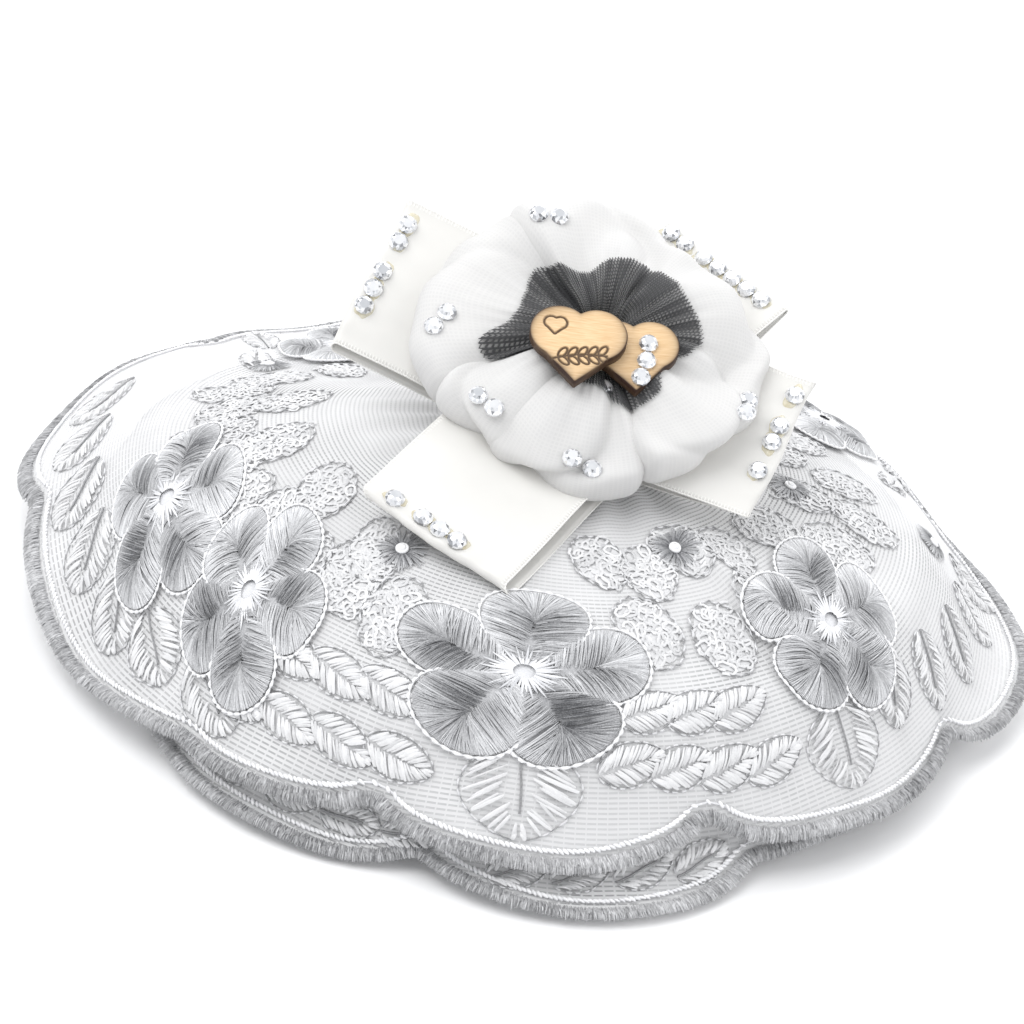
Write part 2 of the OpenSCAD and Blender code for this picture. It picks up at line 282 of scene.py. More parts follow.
def tulle_material(name):
    """Sheer net: rows of thread joined by thin ties, clear between them."""
    s = Shader(name)
    u, v = s.uv()
    wobble = s.math("MULTIPLY", s.math("SUBTRACT", s.noise(90, 2), 0.5), 0.35)
    row = s.math("PINGPONG", s.math("ADD", v, wobble), 0.5)
    tie = s.math("PINGPONG", u, 0.5)
    row = s.ramp(row, [(0.27, (1, 1, 1)), (0.42, (0, 0, 0))])
    tie = s.ramp(tie, [(0.05, (1, 1, 1)), (0.2, (0, 0, 0))])
    net = s.math("MAXIMUM", row, s.math("MULTIPLY", tie, 0.95))
    patchy = s.ramp(s.noise(45, 3), [(0.35, (0, 0, 0)), (0.65, (1, 1, 1))])
    faint = s.ramp(s.noise(26, 2), [(0.34, (0, 0, 0)), (0.54, (1, 1, 1))])
    net = s.math("MAXIMUM", net, s.math("MULTIPLY", faint, 0.72))
    # In the gaps a thin veil partly closes the net: it stands for the finer mesh, and its grey is painted
    # shade for the holes
    veil = s.math("ADD", s.math("MULTIPLY", patchy, 0.12), 0.34)
    cover = s.math("ADD", veil, s.math("MULTIPLY", net, 0.5), clamp=True)
    # The gaps get a darker grey than the thread rows: painted shade, so that the holes look dark
    colour = s.ramp(net, [(0, (0.60, 0.602, 0.61)), (1, (0.81, 0.81, 0.814))])
    front = s.node("BsdfPrincipled", {"Base Color": colour, "Roughness": 0.55, "Sheen Weight": 0.2})
    glow = s.node("BsdfTranslucent", {"Color": colour})
    cloth = s.node("MixShader", {0: 0.12, 1: front.outputs[0], 2: glow.outputs[0]})
    clear = s.node("BsdfTransparent")
    both = s.node("MixShader", {0: cover, 1: clear.outputs[0], 2: cloth.outputs[0]})
    return s.finish(both.outputs[0])


def woven_material(name, base, shade, pitch_mm, roughness, sheen, bump_mm=0.03, translucent=0.0):
    """Woven cloth with a visible over-and-under weave and soft colour variation."""
    s = Shader(name)
    u, v = s.uv()
    over = s.math("SINE", s.math("MULTIPLY", u, 2 * math.pi / pitch_mm))
    under = s.math("SINE", s.math("MULTIPLY", v, 2 * math.pi / pitch_mm))
    weave = s.math("MULTIPLY", over, under)
    weave = s.math("ADD", s.math("MULTIPLY", weave, 0.5), 0.5)
    cloudy = s.noise(60, 4)
    factor = s.math("ADD", s.math("MULTIPLY", weave, 0.35), s.math("MULTIPLY", cloudy, 0.65))
    colour = s.ramp(factor, [(0.25, shade), (0.7, base)])
    made = s.node("BsdfPrincipled", {"Base Color": colour, "Normal": s.bump(weave, 0.5, bump_mm * MM),
                                     "Roughness": roughness, "Sheen Weight": sheen})
    if translucent == 0:
        return s.finish(made.outputs[0])
    glow = s.node("BsdfTranslucent", {"Color": colour})
    both = s.node("MixShader", {0: translucent, 1: made.outputs[0], 2: glow.outputs[0]})
    return s.finish(both.outputs[0])


# ---------------------------------------------------------------- lace surfaces

DOME_POWER = 2.2     # a larger one makes the cushion's crown flatter
SIDE_POWER = 0.625   # a smaller one makes the cushion's side fuller
DRAPE_START = 86.0   # radius at which the lace leaves the cushion
LOWER_LIFT = 1.4     # each tier's height over the cushion's top
UPPER_LIFT = 4.2
# How each tier hangs beyond the cushion's shoulder: [radius, height]
LOWER_SKIRT = [[94.3, 30], [100.7, 23], [105.3, 15.5], [110.4, 8], [115.6, 3.4], [123.3, 1.1], [145, 0.3]]
UPPER_SKIRT = [[95.3, 33.5], [103.4, 25.5], [109.3, 18], [114.2, 11.5], [119.7, 7.3], [126.7, 5.2], [145, 4]]
# Scalloped hems: [angle of a cusp, its radius, how far the scallop after it bulges], from the back round
UPPER_HEM = [[-160, 104, 5], [-120, 109, 13], [-80, 124.3, 4], [-36, 118.5, 3.5], [-13, 112.5, 7.8],
             [25, 110.8, 6.3], [65, 115.5, 16], [112, 112, 4], [158, 108, 6]]
LOWER_HEM = [[-150, 110, 5], [-100, 108, 4], [-47, 112, 9], [-7, 115, 11], [31, 114.5, 3], [75, 111, 4],
             [118, 109, 5], [163, 110, 6]]
# Soft places where the cushion's top sinks: [angle, half width in degrees, depth]
SAGS = [[-142, 72, 15], [130, 56, 7]]
BORDER_W = 3.5
CORD_AT = 5.0        # cord's middle, measured in from the hem
NET_ROW = 1.12       # spacing of the tulle's rows
NET_TIES = 300       # ties round the tulle

cushion_low, cushion_high = node_box("cushion_top")
CUSHION_R = cushion_high[0]
SEAM_H = cushion_low[2] - 0.1
CROWN_H = cushion_high[2] - 0.1


def dome(r, inset=0.0):
    """Height of the cushion's top at a radius, before it sinks at its soft places."""
    full = np.minimum(r / (CUSHION_R - inset), 1) ** DOME_POWER
    return SEAM_H + (CROWN_H - inset - SEAM_H) * (1 - full) ** SIDE_POWER


def dome_sag(theta, r):
    """How far the cushion's top sinks at its soft places."""
    depth = sum(deep * bump(theta, middle, half) for middle, half, deep in SAGS)
    return depth * smooth(r, 15, 66) * (1 - smooth(r, 92, 116))


class Tier:
    """One tier of lace: a revolved profile, cut at a scalloped hem, with its own soft folds."""

    def __init__(self, lift, skirt, cusps, rise):
        self.rise = rise
        r = np.linspace(0, DRAPE_START, 40)
        corner_r = np.concatenate([r, [p[0] for p in skirt]])
        corner_z = np.concatenate([dome(r) + lift, [p[1] for p in skirt]])
        self.r = np.linspace(0, 145, 581)
        z = np.interp(self.r, corner_r, corner_z)
        kernel = np.hanning(27)
        padded = np.concatenate([np.full(13, z[0]), z, np.full(13, z[-1])])
        self.z = np.convolve(padded, kernel / kernel.sum(), "valid")
        steps = np.hypot(np.diff(self.r), np.diff(self.z))
        self.s = np.concatenate([[0], np.cumsum(steps)])
        self.turn = np.linspace(-math.pi, math.pi, 1441)
        reach = np.zeros_like(self.turn)
        following = cusps[1:] + [[cusps[0][0] + 360, *cusps[0][1:]]]
        for (start, near, bulge), (end, far, _) in zip(cusps, following):
            share = ((np.degrees(self.turn) - start) % 360) / (end - start)
            arc = mix(near, far, share) + bulge * (4 * share * (1 - share)).clip(0, 1) ** 0.8
            reach = np.where(share <= 1, arc, reach)
        kernel = np.hanning(17)
        kernel /= kernel.sum()
        self.hem = np.convolve(np.concatenate([reach[-9:-1], reach, reach[1:9]]), kernel, "valid")

    def hem_r(self, theta):
        """Radius of the scalloped hem at an angle."""
        return np.interp((theta + math.pi) % (2 * math.pi) - math.pi, self.turn, self.hem)

    def s_at(self, r):
        """Distance along the profile at a radius."""
        return np.interp(r, self.r, self.s)

    def place(self, theta, s, lift):
        """Point at an angle and a distance along the profile, with the tier's folds."""
        r = np.interp(s, self.s, self.r)
        z = np.interp(s, self.s, self.z) - dome_sag(theta, r) + lift
        skirt = smooth(r, 84, 120)
        z = z + self.rise * bump(theta, -98, 52) * smooth(r, 84, 118) * (1 - 0.6 * smooth(r, 119, 133))
        z = z + skirt * (0.8 * np.sin(9 * theta + 0.7) + 0.5 * np.sin(17 * theta + 2.1)) + 0.6 * skirt
        z = z + 0.5 * np.sin(26 * theta + 0.1 * r) * smooth(r, 14, 24) * (1 - smooth(r, 34, 60))
        fold = np.exp(-((angle_gap(theta, 43) * r / 57.3 - 0.09 * (r - 70)) / 3.2) ** 2)
        z = z + 2.6 * fold * smooth(r, 42, 56) * (1 - smooth(r, 84, 104))
        return np.stack([r * np.sin(theta), -r * np.cos(theta), z], -1)

    def frame_at(self, theta, s, lift):
        """Point and outward normal at an angle and a distance along the profile."""
        theta, s = np.broadcast_arrays(np.asarray(theta, float), np.asarray(s, float))
        step = 0.6
        r = np.maximum(np.interp(s, self.s, self.r), 3)
        along = self.place(theta, s + step, 0) - self.place(theta, s - step, 0)
        across = self.place(theta + step / r, s, 0) - self.place(theta - step / r, s, 0)
        normal = unit(np.cross(across, along))
        normal = normal * np.where(normal[..., 2:3] < 0, -1, 1)
        return self.place(theta, s, 0) + normal * np.asarray(lift)[..., None], normal

    def local(self, spot, x, y, lift):
        """Point and normal at x to the right and y towards the hem from a spot. A spot is
        (angle, radius), and may add (stretch, lean): longer and narrower, along a leaning line."""
        if len(spot) > 2:
            cos, sin = math.cos(math.radians(spot[3])), math.sin(math.radians(spot[3]))
            along, across = (x * cos + y * sin) * spot[2], (y * cos - x * sin) * (2 - spot[2])
            x, y = along * cos - across * sin, along * sin + across * cos
        s = self.s_at(spot[1]) + y
        r = np.maximum(np.interp(s, self.s, self.r), 3)
        return self.frame_at(math.radians(spot[0]) + x / r, s, lift)

    def hem_line(self, spacing, inset):
        """Angles and profile distances along a line that follows the hem, inset from it."""
        theta = np.linspace(-math.pi, math.pi, 2881)
        r = self.hem_r(theta)
        s = self.s_at(r)
        across, along = r * np.gradient(theta), np.gradient(s)
        size = np.hypot(across, along)
        inward = (along / size, -across / size)
        path = self.place(theta, s, 0)
        length = np.concatenate([[0], np.cumsum(np.linalg.norm(np.diff(path, axis=0), axis=1))])
        count = int(length[-1] / spacing)
        pick = np.linspace(0, length[-1], count, endpoint=False)
        theta, s, r = (np.interp(pick, length, x) for x in (theta, s, r))
        side, back = (np.interp(pick, length, x) for x in inward)
        inset = np.asarray(inset, float)
        return theta[:, None] + side[:, None] * inset / r[:, None], s[:, None] + back[:, None] * inset


lower = Tier(LOWER_LIFT, LOWER_SKIRT, LOWER_HEM, 3.0)
upper = Tier(UPPER_LIFT, UPPER_SKIRT, UPPER_HEM, 13.0)


def tulle_sheet(tier, name, nodes):
    """A tier's net, with the size of the square it is cut from and its own flat area."""
    rings, spokes = 64, 720
    theta = np.linspace(-math.pi, math.pi, spokes, endpoint=False)
    end = tier.s_at(tier.hem_r(theta)) - 1.2
    share = np.linspace(0, 1, rings)[:, None]
    s = mix(5.0, end[None, :], share)
    points, _ = tier.frame_at(theta[None, :], s, np.zeros_like(s))
    uv = points_of(theta[None, :] / (2 * math.pi) * NET_TIES, s / NET_ROW)
    seam_uv = uv[:, :1].copy()
    seam_uv[..., 0] += NET_TIES
    points = np.concatenate([points, points[:, :1]], 1)
    uv = np.concatenate([uv, seam_uv], 1)
    quads = grid_quads(rings, spokes + 1)
    piece = make_piece(name, points.reshape(-1, 3), quads, materials["tulle"], uv=uv.reshape(-1, 2))
    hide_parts(*nodes)
    flat_area = float((end**2).mean() * math.pi) * MM * MM
    span = 2 * float(end.max()) * MM
    return piece, (span, span), flat_area


def border(tier, name, node):
    """Satin-stitch band: two staggered rows of short fine threads over a domed core, frayed outside."""
    threads = Threads()
    spacing, points_each = 0.24, 5
    n = len(tier.hem_line(spacing, np.array([0.0]))[0])
    wave = np.arange(n) * spacing
    slow = 0.43 + 0.08 * np.sin(wave / 31) + 0.06 * np.sin(wave / 9.3 + 1) + 0.05 * np.sin(wave / 3.1)
    for row in (0, 1):
        first = rng.uniform(-0.04, 0.1, n) if row == 0 else rng.uniform(0.3, 0.5, n)
        last = rng.uniform(0.5, 0.75, n) if row == 0 else 1 + rng.gamma(1.2, 0.03, n)
        across = mix(first[:, None], last[:, None], np.linspace(0, 1, points_each)[None, :])
        theta, s = tier.hem_line(spacing, BORDER_W * (1 - across))
        slant = rng.normal(0.25, 0.4, n)[:, None]
        theta = theta + slant * (across - 0.5) / tier.hem_r(theta)
        lift = 0.3 + 0.8 * np.sin(across * math.pi * 0.84 + 0.12) + rng.uniform(-0.1, 0.2, n)[:, None]
        points, normals = tier.frame_at(theta, s, lift)
        tone = slow[:, None] + rng.normal(0, 0.14, n)[:, None] + rng.normal(0, 0.08, across.shape)
        taper = np.array([0.5, 1, 1, 0.9, 0.5])[None, :] * rng.uniform(0.8, 1.2, (n, 1))
        threads.add(points, normals, 0.16 * taper, 0.15, np.clip(tone, 0, 1))
    piece = threads.build(name, materials["border"], "border_thread")
    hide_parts(node)
    return piece


def border_core(tier, name):
    """Padding stitched under the border's threads, so no net shows between them."""
    across = np.linspace(0, 1, 5)
    theta, s = tier.hem_line(1.2, mix(BORDER_W - 0.3, 0.25, across))
    lift = 0.12 + 0.75 * np.sin(across * math.pi * 0.9 + 0.1)[None, :] * np.ones_like(theta)
    points, _ = tier.frame_at(theta, s, lift)
    n = len(theta)
    quads = grid_quads(n, len(across), wrap_rows=True)
    tone = 0.5 + 0.08 * np.sin(np.arange(n) / 17)[:, None] * np.ones_like(theta)
    return make_piece(name, points.reshape(-1, 3), quads, materials["border"], tone=tone)


def hem_cord(tier, name, node):
    """A line of short slanted white stitches that runs inside the border."""
    threads = Threads()
    spacing, reach = 1.25, 0.85
    theta, s = tier.hem_line(spacing, np.array([CORD_AT]))
    n = len(theta)
    points, normals = tier.frame_at(theta[:, 0], s[:, 0], np.full(n, 0.55))
    ahead = unit(np.roll(points, -1, 0) - np.roll(points, 1, 0))
    side = unit(np.cross(ahead, normals))
    slant = rng.normal(0.62, 0.12, (n, 1))
    length = reach * rng.uniform(0.85, 1.15, (n, 1))
    way = (ahead * np.cos(slant) + side * np.sin(slant)) * length
    t = np.linspace(-1, 1, 6)[None, :, None]
    path = points[:, None] + way[:, None] * t + normals[:, None] * (0.18 * (1 - t**2))
    shape = np.array([0.35, 0.85, 1, 1, 0.85, 0.35])[None, :] * rng.uniform(0.85, 1.15, (n, 1))
    tone = 0.9 + rng.normal(0, 0.08, (n, 1))
    threads.add(path, np.repeat(normals[:, None], 6, 1), 0.4 * shape, 0.36 * shape, tone, sides=6)
    core = points - normals * 0.15
    threads.add(core[None], normals[None], 0.26, 0.22, 0.7, sides=4, loop=True)
    piece = threads.build(name, materials["white_thread"], "cord_thread")
    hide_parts(node)
    return piece


# ---------------------------------------------------------------- embroidery

def petal_outline(t, length, width):
    """A broad rounded petal: along it and across it, for an angle t from its tip."""
    along = length * (0.5 + 0.5 * np.cos(t))
    return along, width / 2 * np.sin(t) * (0.76 + 0.32 * along / length)


def satin_petal(threads, cords, spot, aim, start, length, width, level, tier, tone_and_painted_sheen):
    """One petal: shiny threads fan out from a spine to a white corded outline.
    aim is the petal's direction in radians, start how far its base is from the flower's middle."""
    spacing = 0.26
    count = int(1.55 * (length + width) / spacing)
    turn = np.linspace(-0.985 * math.pi, 0.985 * math.pi, count) + rng.normal(0, 0.01, count)
    focus = 0.58 * length
    end_along, end_side = petal_outline(turn, length, width)
    from_along = np.clip(end_along - 0.32 * np.abs(end_side), 0.06 * length, focus)
    from_along = from_along + rng.normal(0, 0.03 * length, count)
    from_side = np.sign(end_side) * rng.uniform(-0.1, 0.35, count)
    t = np.linspace(0, 1, 7)[None, :]
    along = mix(from_along[:, None], (end_along * 0.99)[:, None], t)
    side = mix(from_side[:, None], (end_side * 0.99)[:, None], t**1.12)
    x, y = petal_xy(aim, start, along, side)
    swell = np.sin(math.pi * np.clip(t * 0.86 + 0.1, 0, 1))
    puff = level + 0.3 + 1.1 * swell + rng.uniform(0, 0.2, (count, 1))
    points, normals = tier.local(spot, x, y, puff)
    direction = np.arctan2(end_side, end_along - focus)
    phase = rng.uniform(-0.7, 0.7) + (0.9 if rng.uniform() < 0.5 else -0.9)
    # Painted sheen: each thread is lighter or darker by its direction against a phase picked for the petal,
    # as satin catches the light
    sheen = tone_and_painted_sheen + 0.16 * np.cos(direction - phase) + 0.06 * np.cos(3 * direction + 1.7 * phase)
    near_focus = np.exp(-(((along - focus) / (0.26 * length)) ** 2 + (side / (0.3 * width)) ** 2))
    streak = rng.normal(0, 0.08, (count, 1)) + np.where(rng.uniform(0, 1, (count, 1)) < 0.12, 0.22, 0)
    flecks = rng.normal(0, 0.06, (count, 7))
    # The tone adds random streaks and flecks, a painted highlight towards each thread's outer end, darker
    # threads round the focus and lighter ones near the base
    tone = sheen[:, None] + streak + flecks + 0.30 * t**3 - 0.2 * near_focus + 0.1 * (along < 0.3 * length)
    shape = np.array([0.5, 0.9, 1.1, 1.15, 1.15, 1.05, 0.6])[None, :] * rng.uniform(0.8, 1.15, (count, 1))
    threads.add(points, normals, 0.5 * spacing * shape, 0.2, np.clip(tone, 0, 1))
    petal_pad(threads, spot, aim, start, length, width, level, tier, tone_and_painted_sheen)

    # white couched cord round the petal, thick and thin along its length
    fine = np.linspace(-0.97 * math.pi, 0.97 * math.pi, 100)
    along, side = petal_outline(fine, length, width)
    wave = np.sin(np.arange(100) * 2.1)
    x, y = petal_xy(aim, start, along + 0.35, side * (1.04 + 0.014 * wave))
    points, normals = tier.local(spot, x, y, level + 0.5 + 0.12 * wave)
    cords.add(points[None], normals[None], 0.36 + 0.17 * wave[None], 0.32, 0.85 + 0.15 * wave[None], sides=4)


def petal_pad(threads, spot, aim, start, length, width, level, tier, tone_and_painted_sheen):
    """The padding below a petal's threads, so that no net shows between them."""
    t = np.linspace(-math.pi, math.pi, 40)[:, None]
    share = np.linspace(0.05, 0.97, 6)[None, :]
    along, side = petal_outline(t, length, width)
    along = mix(0.5 * length, along, share)
    x, y = petal_xy(aim, start, along, side * share)
    points, _ = tier.local(spot, x, y, level + 0.15 + 0.9 * np.sin(math.pi * (1 - 0.86 * share)) ** 0.8)
    # The padding takes the petal's grey and painted sheen, a little darker
    threads.add_patch(points, np.full(points.shape[:2], 0.85 * tone_and_painted_sheen))


def petal_xy(aim, start, along, side):
    """Petal coordinates to (right, towards the hem) from the flower's middle."""
    reach = start + along
    return (reach * math.cos(aim) - side * math.sin(aim), reach * math.sin(aim) + side * math.cos(aim))


def star_centre(cords, spot, radius, tier, level):
    """Pointed stitches round a small padded eye, whitest at their inner ends."""
    count = 40
    turn = np.arange(count) * 2 * math.pi / count + rng.normal(0, 0.02, count)
    inner = radius * 0.28
    outer = radius * np.where(np.arange(count) % 2 == 0, 1.05, 0.85) * rng.uniform(0.92, 1.08, count)
    t = np.linspace(0, 1, 4)[None, :]
    reach = mix(inner, outer[:, None], t)
    high = level + 1.5 - 0.3 * t + rng.uniform(0, 0.2, (count, 1))
    points, normals = tier.local(spot, reach * np.cos(turn)[:, None], reach * np.sin(turn)[:, None], high)
    thick = np.array([0.2, 0.3, 0.26, 0.08])[None] * np.ones((count, 1))
    cords.add(points, normals, thick, 0.25, 0.72 - 0.2 * t + rng.normal(0, 0.12, (count, 1)))
    ring = np.linspace(-math.pi, math.pi, 20)[:, None]
    share = np.linspace(0.02, 1.3, 3)[None, :]
    x, y = inner * share * np.cos(ring), inner * share * np.sin(ring)
    points, _ = tier.local(spot, x, y, level + 1.0 + 0 * x)
    cords.add_patch(points, 0.55 + 0 * x)


def flower(spot, radius, turn_deg, threads, cords, tier, level=0.0, petals=5):
    """A large satin-stitch flower of overlapping petals; the ones towards the hem are painted darker, as
    shade.
    """
    for k in range(petals):
        aim = math.radians(turn_deg + 360 * k / petals) + rng.normal(0, 0.05)
        length = radius * rng.uniform(0.80, 0.87)
        width = radius * rng.uniform(0.82, 0.94)
        # Each petal's grey, with painted shade on the petals towards the hem and a random painted sheen per
        # petal
        tone_and_painted_sheen = 0.44 - 0.05 * math.sin(aim) + rng.uniform(-0.06, 0.06)
        satin_petal(threads, cords, spot, aim, 0.13 * radius, length, width,
                    level + 0.3 * (k % 2), tier, tone_and_painted_sheen)
    star_centre(cords, spot, 0.29 * radius, tier, level + 0.3)


def small_flower(spot, radius, threads, cords, tier):
    """Dark threads radiating from a white knot."""
    count = 70
    turn = np.arange(count) * 2 * math.pi / count + rng.normal(0, 0.05, count)
    outer = radius * rng.uniform(0.72, 1.08, count)
    t = np.linspace(0, 1, 5)[None, :]
    reach = mix(1.0, outer[:, None], t)
    points, normals = tier.local(spot, reach * np.cos(turn)[:, None], reach * np.sin(turn)[:, None],
                                 0.3 + 0.75 * np.sin(math.pi * (0.15 + 0.8 * t)) + 0 * reach)
    tone = np.clip(0.03 + 0.6 * t**2 + rng.normal(0, 0.1, (count, 1)), 0, 1)
    taper = np.array([0.14, 0.2, 0.24, 0.24, 0.12])[None] * np.ones((count, 1))
    threads.add(points, normals, taper, 0.15, tone)
    for ring_r, high, thick in ((0.45, 1.5, 0.5), (1.15, 1.15, 0.48)):
        ring = circle(16)
        points, normals = tier.local(spot, ring_r * np.cos(ring), ring_r * np.sin(ring), np.full(16, high))
        cords.add(points[None], normals[None], thick, thick, 0.9, sides=5, loop=True)


def oval_patch(threads, spot, aim, length, width, tier, tone, lift=0.16):
    """A thin oval of close net under a leaf or a curled petal."""
    t = np.linspace(-math.pi, math.pi, 30)[:, None]
    share = np.linspace(0.03, 0.98, 5)[None, :]
    x, y = petal_xy(aim, 0, length / 2 * np.cos(t) * share, width / 2 * np.sin(t) * share)
    points, _ = tier.local(spot, x, y, lift + 0 * x)
    threads.add_patch(points, tone + 0 * x)


def leaf(spot, length, width, aim_deg, whites, greys, tier, vein=True):
    """A leaf: slanted white satin strokes either side of its middle, in a thin grey outline.
    A leaf with a grey vein has its strokes further apart; one without lies on a patch of net."""
    aim = math.radians(aim_deg)
    count = int(length / (1.15 if vein else 0.85))
    base = np.linspace(0.04, 0.9, count)
    t = np.linspace(0, 1, 6)[None, :]
    for side in (-1, 1):
        at = base + rng.normal(0, 0.012, count)
        reach = np.minimum(at + 0.18, 0.99)
        edge = width / 2 * np.sin(math.pi * reach**0.9) ** 0.6
        start_side = edge * (rng.uniform(0.2, 0.45, count) if vein else rng.uniform(0.03, 0.15, count))
        edge = edge * rng.uniform(0.8, 1.0, count)
        along = length * mix(at[:, None], reach[:, None], t)
        off = side * mix(start_side[:, None], edge[:, None], t)
        x, y = petal_xy(aim, -0.5 * length, along, off)
        lift = 0.3 + 0.7 * np.sin(math.pi * np.clip(t, 0.08, 0.92)) + rng.uniform(0, 0.2, (count, 1))
        points, normals = tier.local(spot, x, y, lift)
        shape = np.array([0.55, 0.9, 1, 1, 0.95, 0.6])[None] * rng.uniform(0.5, 1.3, (count, 1))
        tone = np.clip(0.86 + rng.normal(0, 0.14, (count, 1)) + rng.normal(0, 0.07, (count, 6)), 0, 1)
        whites.add(points, normals, 0.4 * shape, 0.2, tone)
    if not vein:
        oval_patch(whites, spot, aim, 0.97 * length, 0.9 * width, tier, 0.7)
    if vein:
        line = np.linspace(0.0, 0.72, 16)
        x, y = petal_xy(aim, -0.5 * length, length * line, 0.15 * np.sin(line * 9))
        points, normals = tier.local(spot, x, y, np.full(16, 0.5))
        greys.add(points[None], normals[None], 0.28, 0.3, 0.25, sides=4)
    rim = np.linspace(0.01, 0.99, 44)
    edge = (width / 2 + 0.4) * np.sin(math.pi * rim**0.9) ** 0.6
    dash = np.sign(np.sin(np.arange(44) * 1.15))
    for side in (-1, 1):
        x, y = petal_xy(aim, -0.5 * length, length * rim, side * (edge + 0.1 * dash))
        points, normals = tier.local(spot, x, y, np.full(44, 0.34))
        greys.add(points[None], normals[None], (0.2 + 0.05 * dash)[None], 0.2,
                  (0.62 + 0.34 * dash)[None], sides=4)


def curl_petal(spot, length, width, aim_deg, whites, greys, tier):
    """A petal filled with meandering white loops inside a broken outline."""
    aim = math.radians(aim_deg)
    loops = int(length * width / 7.5)
    k = np.arange(loops) + 0.6
    reach = np.sqrt(k / loops) * 0.9
    turn = k * 2.39996 + rng.uniform(0, 6)
    centre_x = length / 2 * reach * np.cos(turn)
    centre_y = width / 2 * reach * np.sin(turn)
    ring = np.linspace(0, 2 * math.pi * 1.12, 13)[None, :]
    size = rng.uniform(1.0, 1.8, (loops, 1))
    shape = 1 + 0.3 * np.sin(2 * ring + rng.uniform(0, 6, (loops, 1)))
    drift = ring / 7 * rng.normal(0, 0.9, (loops, 1))
    along = centre_x[:, None] + size * shape * np.cos(ring + turn[:, None]) + drift
    off = centre_y[:, None] + size * shape * np.sin(ring + turn[:, None])
    x, y = petal_xy(aim, 0, along, off)
    lift = 0.25 + 0.15 * np.sin(3 * ring + turn[:, None]) + rng.uniform(0, 0.3, (loops, 1))
    points, normals = tier.local(spot, x, y, lift)
    tone = np.clip(0.74 + rng.normal(0, 0.16, (loops, 1)) + 0 * ring, 0, 1)
    whites.add(points, normals, 0.34, 0.2, tone)
    oval_patch(whites, spot, aim, 0.95 * length, 0.95 * width, tier, 0.66)
    rim = circle(64)
    ragged = 1.05 + 0.03 * np.sin(rim * 23) + 0.02 * np.sin(rim * 7 + turn[0])
    x, y = petal_xy(aim, 0, length / 2 * ragged * np.cos(rim), width / 2 * ragged * np.sin(rim))
    points, normals = tier.local(spot, x, y, np.full(64, 0.45))
    dashes = 0.5 + 0.5 * np.sign(np.sin(rim * 15))
    greys.add(points[None], normals[None], (0.2 + 0.08 * dashes)[None], 0.24, (0.25 + 0.7 * dashes)[None],
              sides=4, loop=True)


# Large flowers: [angle, radius in plan, size, turn, stretch, lean of the stretch]
FLOWERS = [[-64, 95, 24.5, -10, 1.26, 29],
           [-40, 94, 23, -20, 1.25, 55],
           [1.5, 88, 26.5, 54, 1.14, 0],
           [54, 86, 24, 10, 1.1, -37],
           [128, 92, 20, 15, 1, 0],
           [160, 88, 20, 50, 1, 0],
           [192, 88, 20, 5, 1, 0],
           [222, 88, 20, 35, 1, 0]]
SMALL_FLOWER_R = 6.2
# Small flowers: [angle, radius]
SMALL_FLOWERS = [[-26, 66], [36, 55], [-120, 88], [94, 100], [84, 60], [145, 62], [178, 66], [212, 64]]
# Runs of leaves on the upper tier: [first angle, last angle, how many, first radius, last radius,
# length, width, direction, has a vein]; every second leaf of a plain run lies nearer to the crown
UPPER_RUNS = [[-98, -56, 5, 115, 111, 22, 16, 40, 1],
              [-47, -36, 2, 110, 110, 21, 15, 30, 1],
              [-33, -8, 8, 108, 106, 17, 9, 12, 0],
              [16, 35, 7, 103, 105, 16, 9, -16, 0],
              [58, 98, 5, 103, 115, 20, 14, 115, 1]]
ROW_STEP = 9    # how much nearer that is
# Broad leaves below the front and the right flower: [angle, radius, length, width, direction, has a vein]
BROAD_LEAVES = [[3, 108, 21, 26, 85, 1], [46, 107, 20, 22, 95, 1]]
# Runs of leaves on the lower tier's front, written like those of the upper tier
LOWER_RUNS = [[-30, -8, 4, 113, 112, 14, 8, -5, 1], [4, 25, 4, 115, 113, 15, 8, -25, 1]]
# Rings of curled white petals between the flowers and the bow: [first angle, last angle, how many,
# radius, length, width, turn of the petal against its place]
CURL_RINGS = [[-110, -20, 10, 78, 21, 14, 60], [-92, -30, 4, 64, 19, 13, 50], [16, 48, 4, 56, 16, 12, 70],
              [22, 98, 7, 76, 19, 14, 70], [64, 104, 3, 60, 16, 13, 50]]


def leaf_run(run):
    """The leaves of one run, evenly spaced along the hem."""
    first, last, count, near, far, length, width, direction, vein = run
    rows = []
    for k in range(count):
        share = k / (count - 1)
        radius = mix(near, far, share) - (0 if vein else ROW_STEP * (k % 2))
        rows.append([mix(first, last, share), radius, length, width, direction, vein])
    return rows


def curl_ring(ring):
    """The curled petals of one ring, evenly spaced and alternately turned a little."""
    first, last, count, radius, length, width, turn = ring
    return [[mix(first, last, k / (count - 1)), radius + 4 * (k % 2), length, width, turn + 20 * (k % 2)]
            for k in range(count)]


UPPER_LEAVES = [row for run in UPPER_RUNS for row in leaf_run(run)] + BROAD_LEAVES
LOWER_LEAVES = [row for run in LOWER_RUNS for row in leaf_run(run)]
CURLS = [row for ring in CURL_RINGS for row in curl_ring(ring)]
# Each large flower between these two angles has the same plain spray round it
BACK_START = 112
BACK_END = 238


def back_spray(spot):
    """Leaves and curls round one flower of the part that the front view doesn't show."""
    angle, r = spot
    leaves = [[angle - 10, r + 16, 17, 11, 75, 1], [angle + 10, r + 16, 17, 11, 105, 1],
              [angle - 17, r + 6, 16, 9, 40, 0], [angle + 17, r + 6, 16, 9, 140, 0]]
    curls = [[angle - 13, r - 20, 15, 12, 60],
             [angle + 1, r - 25, 14, 12, 90],
             [angle + 14, r - 20, 15, 12, 120]]
    return leaves, curls


